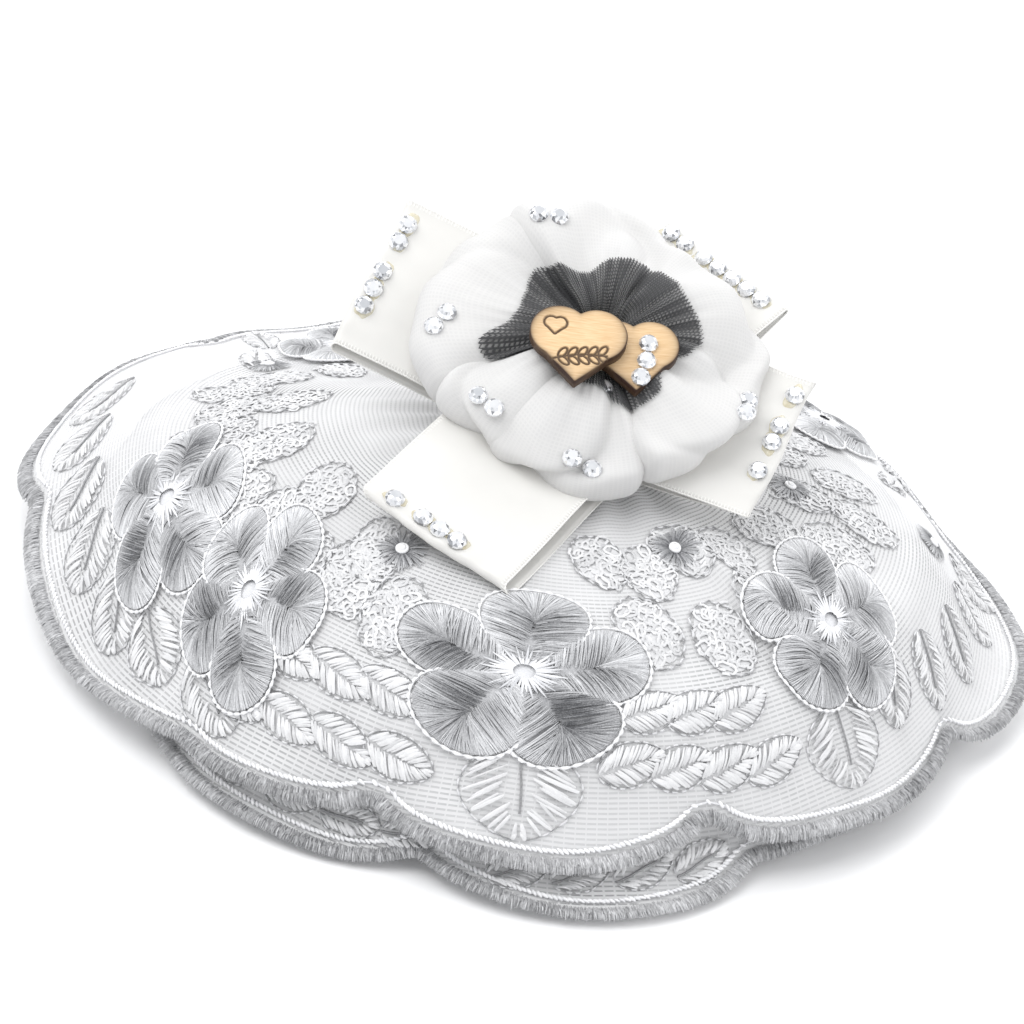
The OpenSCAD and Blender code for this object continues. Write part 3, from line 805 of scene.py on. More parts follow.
def embroider():
    """All the stitched motifs of both tiers."""
    front, back, cords = Threads(), Threads(), Threads()
    whites, greys, low_whites, low_greys = Threads(), Threads(), Threads(), Threads()
    curl_whites = Threads()
    leaves, curls = list(UPPER_LEAVES), list(CURLS)
    for k, (angle, r, size, turn, stretch, lean) in enumerate(FLOWERS):
        hidden = BACK_START < angle < BACK_END
        threads = back if hidden else front
        flower((angle, r, stretch, lean), size, turn, threads, cords, upper, level=0.5 + 0.25 * (k % 2))
        if hidden:
            more_leaves, more_curls = back_spray((angle, r))
            leaves += more_leaves
            curls += more_curls
    for angle, r in SMALL_FLOWERS:
        small_flower((angle, r), SMALL_FLOWER_R, front, cords, upper)
    for angle, r, length, width, aim, vein in leaves:
        leaf((angle, r), length, width, aim, whites, greys, upper, bool(vein))
    for angle, r, length, width, aim in curls:
        curl_petal((angle, r), length, width, aim, curl_whites, greys, upper)
    # evenly spaced leaves round the rest of the lower tier
    around = [[a, 102, 16, 10, 80 + 20 * (k % 2), 1] for k, a in enumerate(range(46, 318, 17))]
    for angle, r, length, width, aim, vein in LOWER_LEAVES + around:
        leaf((angle, r), length, width, aim, low_whites, low_greys, lower, bool(vein))
    made = [
        front.build("flowers_front", materials["flower"], "flower_thread"),
        back.build("flowers_back", materials["flower"], "flower_thread"),
        cords.build("flower_outlines", materials["white_thread"], "cord_thread"),
        whites.build("leaf_strokes", materials["leaf"], "leaf_thread"),
        greys.build("leaf_outlines", materials["border"], "border_thread"),
        curl_whites.build("curl_stitches", materials["leaf"], "leaf_thread"),
        low_whites.build("lower_leaf_strokes", materials["leaf"], "leaf_thread"),
        low_greys.build("lower_leaf_outlines", materials["border"], "border_thread"),
    ]
    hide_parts("upper_flowers", "upper_small_flowers")
    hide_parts("upper_leaves")
    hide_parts("lower_leaves")
    return made


# ---------------------------------------------------------------- cushion

def cushion():
    """The stuffed cover under the lace: two panels of revolution. A cloth simulation inflates them."""
    spokes, rings = 96, 40
    inset = 3.0
    turn = circle(spokes)
    top_r = (CUSHION_R - inset) * np.sin(np.linspace(0.03, math.pi / 2, rings))
    top = np.stack([top_r, dome(top_r, inset)], -1)
    low = np.radians(np.linspace(4, 90, 12))
    base_r = 55
    base_h = 1.2
    belly = np.stack([base_r + (CUSHION_R - inset - base_r) * np.cos(low),
                      SEAM_H - (SEAM_H - base_h) * np.sin(low)], -1)
    profile = np.concatenate([top, belly, [[28, base_h], [3, base_h]]])
    r, z = profile[:, 0][:, None], profile[:, 1][:, None]
    z = z - dome_sag(turn[None, :], r) * (np.arange(len(profile)) < rings)[:, None]
    points = points_of(r * np.sin(turn), -r * np.cos(turn), z).reshape(-1, 3)
    quads = grid_quads(len(profile), spokes, wrap_columns=True).tolist()
    caps = [list(range(spokes)), list(range((len(profile) - 1) * spokes, len(profile) * spokes))[::-1]]
    piece = make_piece("cushion_cover", points, quads + caps, materials["cover"])
    inflate(piece, 5.0, 2.0)
    piece.data.shade_smooth()
    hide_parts("cushion_top", "cushion_bottom", "cushion_fill")
    return piece


def inflate(piece, voxel_mm, cap_mm):
    """Swells a closed piece with cloth pressure, which moves no point further than the cap."""
    scene = bpy.context.scene
    remesh = piece.modifiers.new("remesh", "REMESH")
    remesh.mode = "VOXEL"
    remesh.voxel_size = voxel_mm * MM
    bake_modifiers(piece)
    before = read_points(piece.data)
    cloth = piece.modifiers.new("cloth", "CLOTH")
    cloth.settings.use_pressure = True
    cloth.settings.uniform_pressure_force = 4
    cloth.settings.effector_weights.gravity = 0
    cloth.settings.quality = 4
    frames = 20
    cloth.point_cache.frame_end = frames
    for step in range(1, frames + 1):
        scene.frame_set(step)
    bake_modifiers(piece)
    scene.frame_set(1)
    moved = read_points(piece.data) - before
    size = np.linalg.norm(moved, axis=1, keepdims=True)
    moved = moved * np.minimum(1, cap_mm * MM / np.maximum(size, 1e-9))
    after = before + moved
    after[:, 2] = np.maximum(after[:, 2], 0.2 * MM)
    piece.data.vertices.foreach_set("co", after.astype(np.float32).ravel())
    piece.data.update()
    finer = piece.modifiers.new("finer", "SUBSURF")
    finer.levels = finer.render_levels = 1
    bake_modifiers(piece)


def read_points(mesh):
    """The mesh's points as rows of three numbers, in metres."""
    points = np.empty(len(mesh.vertices) * 3, np.float32)
    mesh.vertices.foreach_get("co", points)
    return points.reshape(-1, 3).astype(float)


def bake_modifiers(piece):
    """Replaces the piece's mesh by its evaluated one and clears its modifiers."""
    graph = bpy.context.evaluated_depsgraph_get()
    done = bpy.data.meshes.new_from_object(piece.evaluated_get(graph), depsgraph=graph)
    piece.modifiers.clear()
    piece.data = done


# ---------------------------------------------------------------- bow

BOW_AT = np.array([8.0, -5.0, 64.0])
BOW_TILT = 27
RIBBON_W = 40.0
LOOP_H = 2.4          # height of a ribbon loop
STONE_INSET = 2.8     # from an arm's folded end to the middle of its stones
ROSETTE_AT = np.array([0.0, 6.0, 0.0])


def turned(points, axis, degrees):
    """Points turned about an axis through the origin."""
    return points @ np.array(Matrix.Rotation(math.radians(degrees), 3, axis)).T


def in_bow(points):
    """From the bow's own plane, z along its normal, to the part's frame."""
    return turned(points, "X", BOW_TILT) + BOW_AT


class Arm:
    """One ribbon loop of the bow; stones are places across its folded end, from 0 to 1."""

    def __init__(self, name, yaw, length, pitch, roll, drop, stones):
        self.name, self.length, self.stones = name, length, stones
        self.angles = (yaw, pitch, roll)
        self.drop = drop

    def place(self, points):
        """From the arm's frame (x outwards, top face at z 0) to the part's frame."""
        yaw, pitch, roll = self.angles
        points = turned(turned(turned(points, "X", roll), "Y", -pitch), "Z", yaw)
        return in_bow(points - np.array([0, 0, self.drop]))

    def loop(self, across, phase):
        """Points of the loop from the middle out along the top, round the fold and back below."""
        inner = -5.0
        straight = np.linspace(inner, self.length - LOOP_H / 2, 46)
        fold = np.linspace(math.pi / 2, -math.pi / 2, 9)[1:-1]
        x = np.concatenate([straight, self.length - LOOP_H / 2 + LOOP_H / 2 * np.cos(fold), straight[::-1]])
        z = np.concatenate([0 * straight, LOOP_H / 2 * (np.sin(fold) - 1), 0 * straight - LOOP_H])
        top = np.concatenate([0 * straight + 1, 0.5 + 0.5 * np.sin(fold), 0 * straight])
        x, z, top, across = x[:, None], z[:, None], top[:, None], across[None, :]
        share = np.clip((x - inner) / (self.length - inner), 0, 1)
        belly = np.sin(math.pi * share) ** 1.3
        ripple = 0.45 * np.sin(x / 7.5 + across / 11 + phase) * belly
        cup = 0.35 * np.cos(across / 6.2 + phase) * belly
        crease = 0.22 * np.sin(across * 0.9 + phase * 3) * np.exp((x - self.length) / 5) * (0.3 + top)
        z = z + top * (1.5 * belly + ripple + cup) - (1 - top) * (0.5 * belly - 0.5 * ripple) + crease
        side = across + (1 - top) * (0.9 * np.sin(phase) + 0.02 * x) + 0.25 * np.sin(x / 10 + phase)
        x = x + 0.45 * np.sin(across / 5.3 + phase) * (share > 0.8) * (share - 0.8) / 0.2
        return self.place(points_of(x, side, z))


LEFT = Arm("left", 165, 60, 10, -16, 0, [0.15, 0.27, 0.48, 0.60, 0.72])
RIGHT = Arm("right", -18, 49, 10, 4, 0, [0.31, 0.52, 0.64, 0.87])
BACK = Arm("back", 53, 48, 10, -9, 2.6, [0.16, 0.28, 0.40, 0.52, 0.64, 0.80, 0.92])
FRONT = Arm("front", -119, 66, 14, 2, 2.6, [0.19, 0.39, 0.51, 0.63])


def ribbon_band(name, node, first, second, phase):
    """A length of ribbon folded back at the ends of two arms, so that its own ends meet under the
    rosette, with a stitched selvedge along both edges."""
    across = np.linspace(-RIBBON_W / 2, RIBBON_W / 2, 33)
    rows = np.concatenate([first.loop(across, phase), second.loop(-across, phase + 2)[::-1]])
    steps = np.linalg.norm(np.diff(rows.mean(1), axis=0), axis=1)
    along = np.concatenate([[0], np.cumsum(steps)])
    uv = points_of(along[:, None], across[None, :]).reshape(-1, 2)
    quads = grid_quads(len(rows), len(across))
    piece = make_piece(name, rows.reshape(-1, 3), quads, materials["ribbon"], uv=uv)
    thin = piece.modifiers.new("thickness", "SOLIDIFY")
    thin.thickness = 0.3 * MM
    thin.offset = 0
    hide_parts(node)

    edge = Threads()
    normal = unit(np.cross(np.gradient(rows, axis=0), np.gradient(rows, axis=1)))
    fine = np.arange(0, along[-1], 0.42)
    for side, inward in ((0, 1), (-1, -2)):
        line = np.stack([np.interp(fine, along, rows[:, side, k]) for k in range(3)], -1)
        inner = np.stack([np.interp(fine, along, rows[:, inward, k]) for k in range(3)], -1)
        up = np.stack([np.interp(fine, along, normal[:, side, k]) for k in range(3)], -1)
        odd = np.arange(len(fine)) % 2
        edge.add(line[None], up[None], (0.24 + 0.07 * odd)[None], 0.26, (0.75 + 0.25 * odd)[None], sides=4)
        ticks = slice(0, None, 2)
        ends = mix(line[ticks, None], inner[ticks, None], np.array([0, 0.45, 0.95])[None, :, None])
        ups = np.repeat(up[ticks, None], 3, 1)
        edge.add(ends + 0.17 * ups, ups, 0.13, 0.12, 0.95)
    trim = edge.build(name + "_selvedge", materials["ribbon_edge"], "ribbon")
    return piece, trim, float(along[-1]) * MM


ROSETTE_LOW = 8.5      # height of the puffs' widest line over the bow's plane
ROSETTE_HOLE = 7.0
PUFF_END = 12.0        # degrees over which a puff closes at its ends
# Puffs of the white ruffle: [first angle, last angle, lift above the ones beside it]
PUFFS = [[-73, 139, 1.5], [122, 219, -0.8], [203, 248, 1.2], [227, 299, 0.4]]
# Outline of the puffs seen along the bow's normal: [angle, radius]
PUFF_EDGE = [[0, 40.5], [15, 39], [30, 35.5], [48, 32], [65, 33], [80, 37], [95, 40.5], [120, 41], [146, 43],
             [172, 46], [192, 46], [210, 43], [222, 42], [237, 40], [255, 42], [275, 42.5], [288, 40.5],
             [300, 40], [325, 42], [345, 41]]
# Outer limit of the dark ruffle, seen the same way: [angle, radius]
RUFFLE_EDGE = [[0, 23], [25, 21], [50, 20], [70, 20.5], [90, 19], [108, 15], [122, 17], [140, 24],
               [158, 20], [175, 20], [188, 23], [198, 30], [206, 29], [216, 15], [235, 14.5], [255, 17],
               [275, 18], [292, 24], [312, 22], [328, 15], [345, 21]]
# Folds within the puffs: [angle, steep side, gentle side, depth, lean with height]
CREASES = [[58, 16, 24, 0.22, 40], [12, 9, 18, 0.3, -34], [333, 6, 15, 0.42, 24], [168, 8, 16, 0.3, -26],
           [104, 8, 20, 0.3, -40], [262, 5, 12, 0.38, 20], [312, 5, 9, 0.18, -16], [221, 4, 9, 0.3, -16]]


def round_table(table, angle):
    """Smooth value at an angle (radians) from a closed table of [degrees, value]."""
    fine = np.arange(0, 361, 1.0)
    at, value = np.array(table, float).T
    flat = np.interp(fine, at, value, period=360)
    kernel = np.hanning(11)
    closed = np.concatenate([flat[-6:-1], flat, flat[1:6]])
    return np.interp(np.degrees(angle) % 360, fine, np.convolve(closed, kernel / kernel.sum(), "valid"))


def rosette_shape(puff, ring, tube):
    """Radius and height of one puff at an angle round the rosette and round its tube.
    tube is 0 at the outside, a quarter turn at the top and a half turn at the inside."""
    first, last, lift = puff
    height, cos = np.sin(tube), np.cos(tube)
    crease = 0
    for middle, steep, gentle, depth, lean in CREASES:
        gap = angle_gap(ring, middle + lean * (height - 0.4 * cos))
        crease = crease + depth * np.exp(-np.abs(gap / np.where(gap < 0, steep, gentle)) ** 1.4)
    crease = np.minimum(crease, 0.85)
    outer = round_table(PUFF_EDGE, ring) * (1 - 0.08 * crease)
    inside = smooth(-cos, -0.3, 0.9)
    top = smooth(height, -0.2, 1)
    gather = (0.6 * np.sin(29 * ring + 2.2 * np.sin(5 * ring))
              + 0.4 * np.sin(47 * ring + 3 * np.sin(4 * ring)))
    soft = (np.sin(8 * ring + 2 * np.sin(3 * ring) + 2.6 * height)
            + 0.5 * np.sin(15 * ring - 2.2 * height + 1))
    reach = (outer + ROSETTE_HOLE) / 2 + (outer - ROSETTE_HOLE) / 2 * np.sign(cos) * np.abs(cos) ** 0.9
    reach = reach + (0.6 * soft - 5.0 * crease * (1 - inside)) * (1 - inside) + 3.5 * height * top
    high = 9.0 * (1 - crease) * np.sign(height) * np.abs(height) ** 0.9
    along = np.sin(3.2 * tube + 2.2 * np.sin(1.5 * ring + 1) + 0.8 * np.sin(5 * ring))
    high = high + (gather * (0.04 + 0.3 * inside) + 0.4 * soft + 1.3 * along) * top
    degrees = np.degrees(ring)
    closing = 1 - np.clip(np.minimum(degrees - first, last - degrees) / PUFF_END, 0, 1)
    full = np.sqrt(np.maximum(1 - closing**2, 0.002))
    root = mix(ROSETTE_HOLE, outer, 0.42)
    return mix(root, reach, full), ROSETTE_LOW + lift + mix(-3.0, high, full)


def rosette_points(puff, ring, tube, lift=0.0):
    """Points of a puff, moved outwards from its surface by lift."""
    reach, high = rosette_shape(puff, ring, tube)
    next_reach, next_high = rosette_shape(puff, ring, tube + 0.02)
    out, up = next_high - high, reach - next_reach
    length = np.maximum(np.hypot(out, up), 1e-6)
    reach, high = reach + lift * out / length, high + lift * up / length
    points = np.stack([reach * np.cos(ring), reach * np.sin(ring), high], -1)
    return in_bow(points + ROSETTE_AT)


def tube_where(puff, ring, limit):
    """Angle round the tube, on its inner side, where a puff's surface reaches a radius."""
    tube = np.radians(np.linspace(190, 55, 136))
    reach, _ = rosette_shape(puff, ring[:, None], tube[None, :])
    return tube[np.argmax(reach > limit[:, None], axis=1)]


def puff_rings(puff, step_deg):
    """Angles along a puff, closer together near its ends."""
    count = int((puff[1] - puff[0]) / step_deg)
    share = np.linspace(0, 1, count)
    share = share - 0.035 * np.sin(2 * math.pi * share)
    return np.radians(mix(puff[0], puff[1], share))


def rosette():
    """The white puffs, and the dark organza ruffle that lines their inner sides."""
    verts, uvs, quads, start = [], [], [], 0
    for puff in PUFFS:
        ring, tube = np.broadcast_arrays(puff_rings(puff, 0.4)[:, None],
                                         np.radians(np.linspace(-100, 235, 60))[None, :])
        verts.append(rosette_points(puff, ring, tube).reshape(-1, 3))
        uvs.append(np.stack([ring * 30, tube * 14], -1).reshape(-1, 2))
        quads.append(grid_quads(*ring.shape, start=start))
        start += ring.size
    white = make_piece("rosette_puffs", np.concatenate(verts), np.concatenate(quads), materials["chiffon"],
                       uv=np.concatenate(uvs))
    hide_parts("rosette_white")

    verts, uvs, quads, start = [], [], [], 0
    for puff in PUFFS:
        ring = puff_rings(puff, 0.28)
        zigzag = 0.4 * (np.arange(len(ring)) % 7 - 3) / 3 + 0.5 * np.sin(7 * ring + 1)
        edge = tube_where(puff, ring, round_table(RUFFLE_EDGE, ring) + zigzag)[:, None]
        ring, share = np.broadcast_arrays(ring[:, None], np.linspace(0, 1, 26)[None, :])
        pleat = (0.7 * np.sin(13 * ring + 3 * np.sin(3 * ring + 1))
                 + 0.3 * np.sin(23 * ring + 2 * np.sin(5 * ring)))
        tube = mix(math.radians(200), edge, share)
        verts.append(rosette_points(puff, ring, tube, 0.9 + pleat * (0.75 - 0.4 * share)).reshape(-1, 3))
        uvs.append(np.stack([ring * 22, share * 24], -1).reshape(-1, 2))
        quads.append(grid_quads(*ring.shape, start=start))
        start += ring.size
    dark = make_piece("rosette_organza", np.concatenate(verts), np.concatenate(quads), materials["organza"],
                      uv=np.concatenate(uvs))
    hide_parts("rosette_dark")
    return white, dark


def low_disc(name, centre, radius, thick, node, tilted):
    """A soft round felt pad, domed a little and uneven at its rim; a tilted one is in the bow's plane."""
    spokes = 72
    ring = circle(spokes)[:, None]
    share = np.array([0.02, 0.3, 0.6, 0.85, 0.97, 1, 0.97, 0.85, 0.02])[None, :]
    level = np.array([1, 1, 1, 0.97, 0.85, 0.5, 0.15, 0.02, 0])[None, :]
    reach = radius * share * (1 + 0.015 * np.sin(7 * ring) + 0.01 * np.sin(17 * ring))
    high = thick * level + 0.05 * np.sin(9 * ring + 8 * share) * level
    points = points_of(reach * np.cos(ring), reach * np.sin(ring), high)
    columns = share.shape[1]
    quads = grid_quads(spokes, columns, wrap_rows=True).tolist()
    quads.append([i * columns for i in range(spokes)][::-1])
    quads.append([i * columns + columns - 1 for i in range(spokes)])
    verts = points.reshape(-1, 3) + np.asarray(centre)
    if tilted:
        verts = in_bow(verts)
    piece = make_piece(name, verts, quads, materials["felt"])
    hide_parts(node)
    return piece


def bow_stitching():
    """The thread wrapped round the bow's middle and the stitches that gather the rosette."""
    knot = Threads()
    turn = circle(40)
    for k in range(7):
        r = 7.3 + 0.5 * (k % 2)
        level = -5.6 - 0.9 * k + 0.25 * np.sin(2 * turn + k)
        loop = np.stack([r * np.cos(turn), r * np.sin(turn), level], -1)
        up = in_bow(loop + [0, 0, 1]) - in_bow(loop)
        knot.add(in_bow(loop)[None], up[None], 0.55, 0.55, 0.8, sides=6, loop=True)
    wrapped = knot.build("bow_wrap", materials["white_thread"], "thread")
    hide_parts("bow_knot")
    stitches = Threads()
    t = np.linspace(0, 1, 8)
    for k in range(8):
        a = 2 * math.pi * k / 8 + 0.1
        r = 6.2 + 0.8 * np.sin(math.pi * t)
        line = np.stack([r * math.cos(a), r * math.sin(a), 3.6 + 8 * t], -1) + ROSETTE_AT
        out = np.broadcast_to([math.cos(a), math.sin(a), 0.01], line.shape)
        stitches.add(in_bow(line)[None], turned(out, "X", BOW_TILT)[None], 0.3, 0.3, 0.85, sides=5)
    sewn = stitches.build("gather_stitches", materials["white_thread"], "thread")
    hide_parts("rosette_stitches")


# ---------------------------------------------------------------- hearts, stones, glue

HEART_T = 3.0
ENGRAVING_DEPTH = 0.4
# Pairs of stones on the puffs: middle in the bow's plane and the direction of the pair
ROSETTE_PAIRS = [[-17, 33, 10], [-38, 0, 60], [-24, -21, -35], [0, -31, -5], [36, -9, 85]]
PAIR_HALF = 2.5      # from the middle of a pair to the middle of either stone
# Stones on the back heart, in the bow's plane
HEART_STONES = [[10.9, 0.3], [11, -4.5], [10.2, -9.25]]
HEART_STONE_H = 20.25    # height of their backs, 0.05 over the heart's upper face


def heart_outline(turn):
    """Distance from the heart's middle to its edge, for a side of 1."""
    reach = np.linspace(0.01, 1.6, 1200)[None, :]
    x, y = reach * np.cos(turn)[:, None], reach * np.sin(turn)[:, None] - 0.02
    inside = np.abs(x) + np.abs(y) < math.sqrt(0.5)
    for side in (-1, 1):
        inside |= np.hypot(x - side * 0.34, y - 0.34) < 0.53
    edge = np.where(inside, reach, 0).max(1)
    kernel = np.hanning(7)
    wrapped = np.concatenate([edge[-3:], edge, edge[:3]])
    return np.convolve(wrapped, kernel / kernel.sum(), "valid")


def sprig_lines():
    """Points along a plain leafy sprig, the engraving's pattern, in millimetres."""
    t = np.linspace(0, 1, 60)
    lines = [np.stack([-6.5 + 13 * t, 0.9 * np.sin(3 * t)], -1)]
    loop = np.linspace(0, 2 * math.pi, 36)
    for x in np.linspace(-4.6, 4.8, 5):
        for side in (-1, 1):
            along = 1.5 + 1.5 * np.cos(loop)
            wide = 0.75 * np.sin(loop)
            lean = side * math.radians(48)
            lines.append(np.stack([x + along * math.cos(lean) - wide * math.sin(lean),
                                   0.5 + along * math.sin(lean) + wide * math.cos(lean)], -1))
    return np.concatenate(lines)


def heart(name, at, turn_deg, side, node, engraved):
    """A laser-cut wooden heart with a scorched rim; the front one is engraved."""
    spokes = 320
    turn = circle(spokes)
    edge = heart_outline(turn) * side
    flat_rows = 64
    face_rows = flat_rows + 2
    share = np.concatenate([np.linspace(0.01, 0.97, flat_rows), [0.99, 1.0, 1.0, 1.0, 0.99, 0.6, 0.01]])
    level = np.concatenate([np.ones(flat_rows), [0.985, 0.93, 0.5, 0.07, 0, 0, 0]]) * HEART_T
    reach = share[:, None] * edge
    x, y = reach * np.cos(turn), reach * np.sin(turn) + 0.13 * side
    z = np.broadcast_to(level[:, None], x.shape).copy()
    rim = edge * (1 - share[:, None])
    char = 0.75 * np.exp(-rim / 0.5) + 0.46 * np.exp(-rim / 2.2) * (0.6 + 0.4 * np.sin(3 * turn + 1))
    char[face_rows:] = 0.96
    if engraved:
        lines = turned(np.pad(sprig_lines(), ((0, 0), (0, 1))), "Z", 10)[:, :2] + [0.5, -0.5]
        small_turn = np.linspace(0, 2 * math.pi, 160)
        small = heart_outline(small_turn) * 3.1
        small = np.stack([small * np.cos(small_turn) - 5.6, small * np.sin(small_turn) + 7.4], -1)
        marks = np.concatenate([lines, small])
        flat = np.stack([x[:face_rows].ravel(), y[:face_rows].ravel()], -1)
        gap = np.sqrt(((flat[:, None] - marks[None]) ** 2).sum(-1).min(1)).reshape(face_rows, spokes)
        groove = 1 - smooth(gap, 0.16, 0.42)
        z[:face_rows] -= ENGRAVING_DEPTH * groove
        char[:face_rows] = np.maximum(char[:face_rows], 0.9 * groove)
    points = in_bow(turned(np.stack([x, y, z], -1), "Z", turn_deg) + np.asarray(at))
    quads = grid_quads(len(share), spokes, wrap_columns=True).tolist()
    quads.append(list(range(spokes)))
    quads.append(list(range((len(share) - 1) * spokes, len(share) * spokes))[::-1])
    piece = make_piece(name, points.reshape(-1, 3), quads, materials["wood"], tone=char,
                       uv=np.stack([x, y], -1).reshape(-1, 2))
    piece.data.set_sharp_from_angle(angle=math.radians(40))
    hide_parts(node)
    return piece


def stone_facets(radius, high):
    """Facets of a small brilliant: table, crown and girdle. The glued back is left open."""
    count = 12
    a = np.arange(count) * 2 * math.pi / count
    rings = []
    for r, z, shift in ((0.5, 1.0, 0), (0.78, 0.78, 0.5), (1.0, 0.38, 0), (0.96, 0.0, 0)):
        b = a + shift * 2 * math.pi / count
        rings.append(np.stack([radius * r * np.cos(b), radius * r * np.sin(b), 0 * b + high * z], -1))
    facets = [list(rings[0])]
    for j in range(count):
        k = (j + 1) % count
        facets.append([rings[0][j], rings[1][j], rings[0][k]])
        facets.append([rings[1][j], rings[1][k], rings[0][k]])
        facets.append([rings[1][j], rings[2][k], rings[1][k]])
        facets.append([rings[1][j], rings[2][j], rings[2][k]])
        facets.append([rings[2][j], rings[3][j], rings[3][k], rings[2][k]])
    return facets


def stones(name, node, places, radius=2.35, high=2.0):
    """Foil-backed stones. places is a list of functions from a stone's own frame to the part's."""
    verts, faces, tones = [], [], []
    for put in places:
        facets = stone_facets(radius, high)
        spin = rng.uniform(0, 30)
        # Each facet gets a random tone: painted reflection, from dark to bright; the table's tone stays in
        # the middle
        shade = rng.uniform(0, 1, len(facets))
        shade[0] = rng.uniform(0.3, 0.8)
        for facet, tone in zip(facets, shade):
            faces.append(list(range(len(verts), len(verts) + len(facet))))
            verts += list(put(turned(np.array(facet), "Z", spin)))
            tones += [tone] * len(facet)
    piece = make_piece(name, np.array(verts), faces, materials["stone"],
                       tone=np.array(tones), flat=True)
    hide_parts(node)
    return piece


def arm_place(arm, share):
    """A function that puts a stone at a share of the way across an arm's folded end."""
    offset = np.array([arm.length - STONE_INSET, (share - 0.5) * RIBBON_W, 0.35])
    return lambda points: arm.place(points + offset)


def bow_place(x, y, z):
    """A function that puts a stone at a point of the bow's plane, z above it."""
    return lambda points: in_bow(points + np.array([x, y, z]))


def glue_smear(arm):
    """Uneven beads of hot glue, one under each of the arm's stones."""
    verts, faces = [], []
    spokes = 48
    for share in arm.stones:
        ring = circle(spokes)[:, None]
        span = np.array([0.03, 0.5, 0.8, 0.93, 1.0])[None, :]
        wobble = (1 + 0.12 * np.sin(2 * ring + rng.uniform(0, 6))
                  + 0.07 * np.sin(5 * ring + rng.uniform(0, 6)))
        size = rng.uniform(2.6, 3.1)
        reach = size * span * wobble
        high = 0.12 + 0.75 * np.sqrt(np.clip(1 - span**2, 0, 1)) + 0 * ring
        x = arm.length - STONE_INSET - 0.4 + 0.72 * reach * np.cos(ring)
        y = (share - 0.5) * RIBBON_W + 1.15 * reach * np.sin(ring)
        points = arm.place(np.stack([x, y, high], -1)).reshape(-1, 3)
        start = len(verts)
        verts += list(points)
        columns = span.shape[1]
        faces += grid_quads(spokes, columns, wrap_rows=True, start=start).tolist()
        faces.append([start + i * columns for i in range(spokes)][::-1])
    piece = make_piece("glue_" + arm.name, np.array(verts), faces, materials["glue"])
    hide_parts("smear_" + arm.name)
    return piece


def glue_blob():
    """The hot glue that holds the hearts to each other and to the rosette."""
    verts, faces = [], []
    for centre, radii in (([1.5, 2, 13], [4.4, 4.2, 4.4]), ([-6, -2, 18.2], [3.2, 3, 2.7]),
                          ([-1, -3, 16.4], [6, 3.4, 1.2])):
        spokes, columns = 40, 20
        ring = circle(spokes)[:, None]
        rise = np.linspace(-1.5, 1.5, columns)[None, :]
        bulge = 1 + 0.06 * np.sin(3 * ring + 2 * rise) + 0.05 * np.sin(5 * ring - rise)
        points = points_of(radii[0] * np.cos(ring) * np.cos(rise) * bulge,
                           radii[1] * np.sin(ring) * np.cos(rise) * bulge,
                           radii[2] * np.sin(rise) * np.ones_like(ring))
        start = len(verts)
        faces += grid_quads(spokes, columns, wrap_rows=True, start=start).tolist()
        faces.append([start + i * columns for i in range(spokes)])
        faces.append([start + i * columns + columns - 1 for i in range(spokes)][::-1])
        verts += list(in_bow(points.reshape(-1, 3) + np.array(centre)))
    piece = make_piece("glue_under_hearts", np.array(verts), faces, materials["glue"])
    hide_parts("heart_glue")
    return piece


def all_stones():
    """Every stone of the bow, rosette and hearts."""
    for arm in (LEFT, FRONT, RIGHT, BACK):
        stones("stones_" + arm.name + "_set", "stones_" + arm.name, [arm_place(arm, s) for s in arm.stones])
        glue_smear(arm)
    on_rosette = []
    for x, y, lean in ROSETTE_PAIRS:
        along = np.array([math.cos(math.radians(lean)), math.sin(math.radians(lean))])
        for side in (-1, 1):
            at = np.array([x, y]) + PAIR_HALF * side * along
            flat = at - ROSETTE_AT[:2]
            top = rosette_top(math.atan2(flat[1], flat[0]), math.hypot(*flat))
            on_rosette.append(bow_place(at[0], at[1], top))
    stones("stones_rosette_set", "stones_rosette", on_rosette)
    on_heart = [bow_place(x, y, HEART_STONE_H) for x, y in HEART_STONES]
    stones("stones_heart_set", "stones_heart", on_heart)
    stones("stone_centre_set", "stone_centre", [bow_place(2.2, -10.5, 15.0)])


def rosette_top(ring, reach):
    """Height of the highest puff's upper side at an angle and a radius round the rosette."""
    tube = np.linspace(0, math.radians(150), 200)
    best = ROSETTE_LOW
    for puff in PUFFS:
        for angle in (ring, ring + 2 * math.pi):
            if puff[0] < math.degrees(angle) < puff[1]:
                r, high = rosette_shape(puff, np.full(200, angle), tube)
                near = np.abs(r - reach) < 1.2
                best = max(best, float(high[near].max()) - 0.2 if near.any() else best)
    return best


# ---------------------------------------------------------------- looks

def plain_material(name, dark, light, scale, roughness, sheen=0.2, bump_mm=0.05):
    """Fibrous matter such as felt: mottled, soft and rough."""
    s = Shader(name)
    colour = s.ramp(s.noise(scale, 4), [(0.3, dark), (0.7, light)])
    relief = s.bump(s.noise(scale * 3, 3), 0.4, bump_mm * MM)
    made = s.node("BsdfPrincipled", {"Base Color": colour, "Normal": relief, "Roughness": roughness,
                                     "Sheen Weight": sheen})
    return s.finish(made.outputs[0])


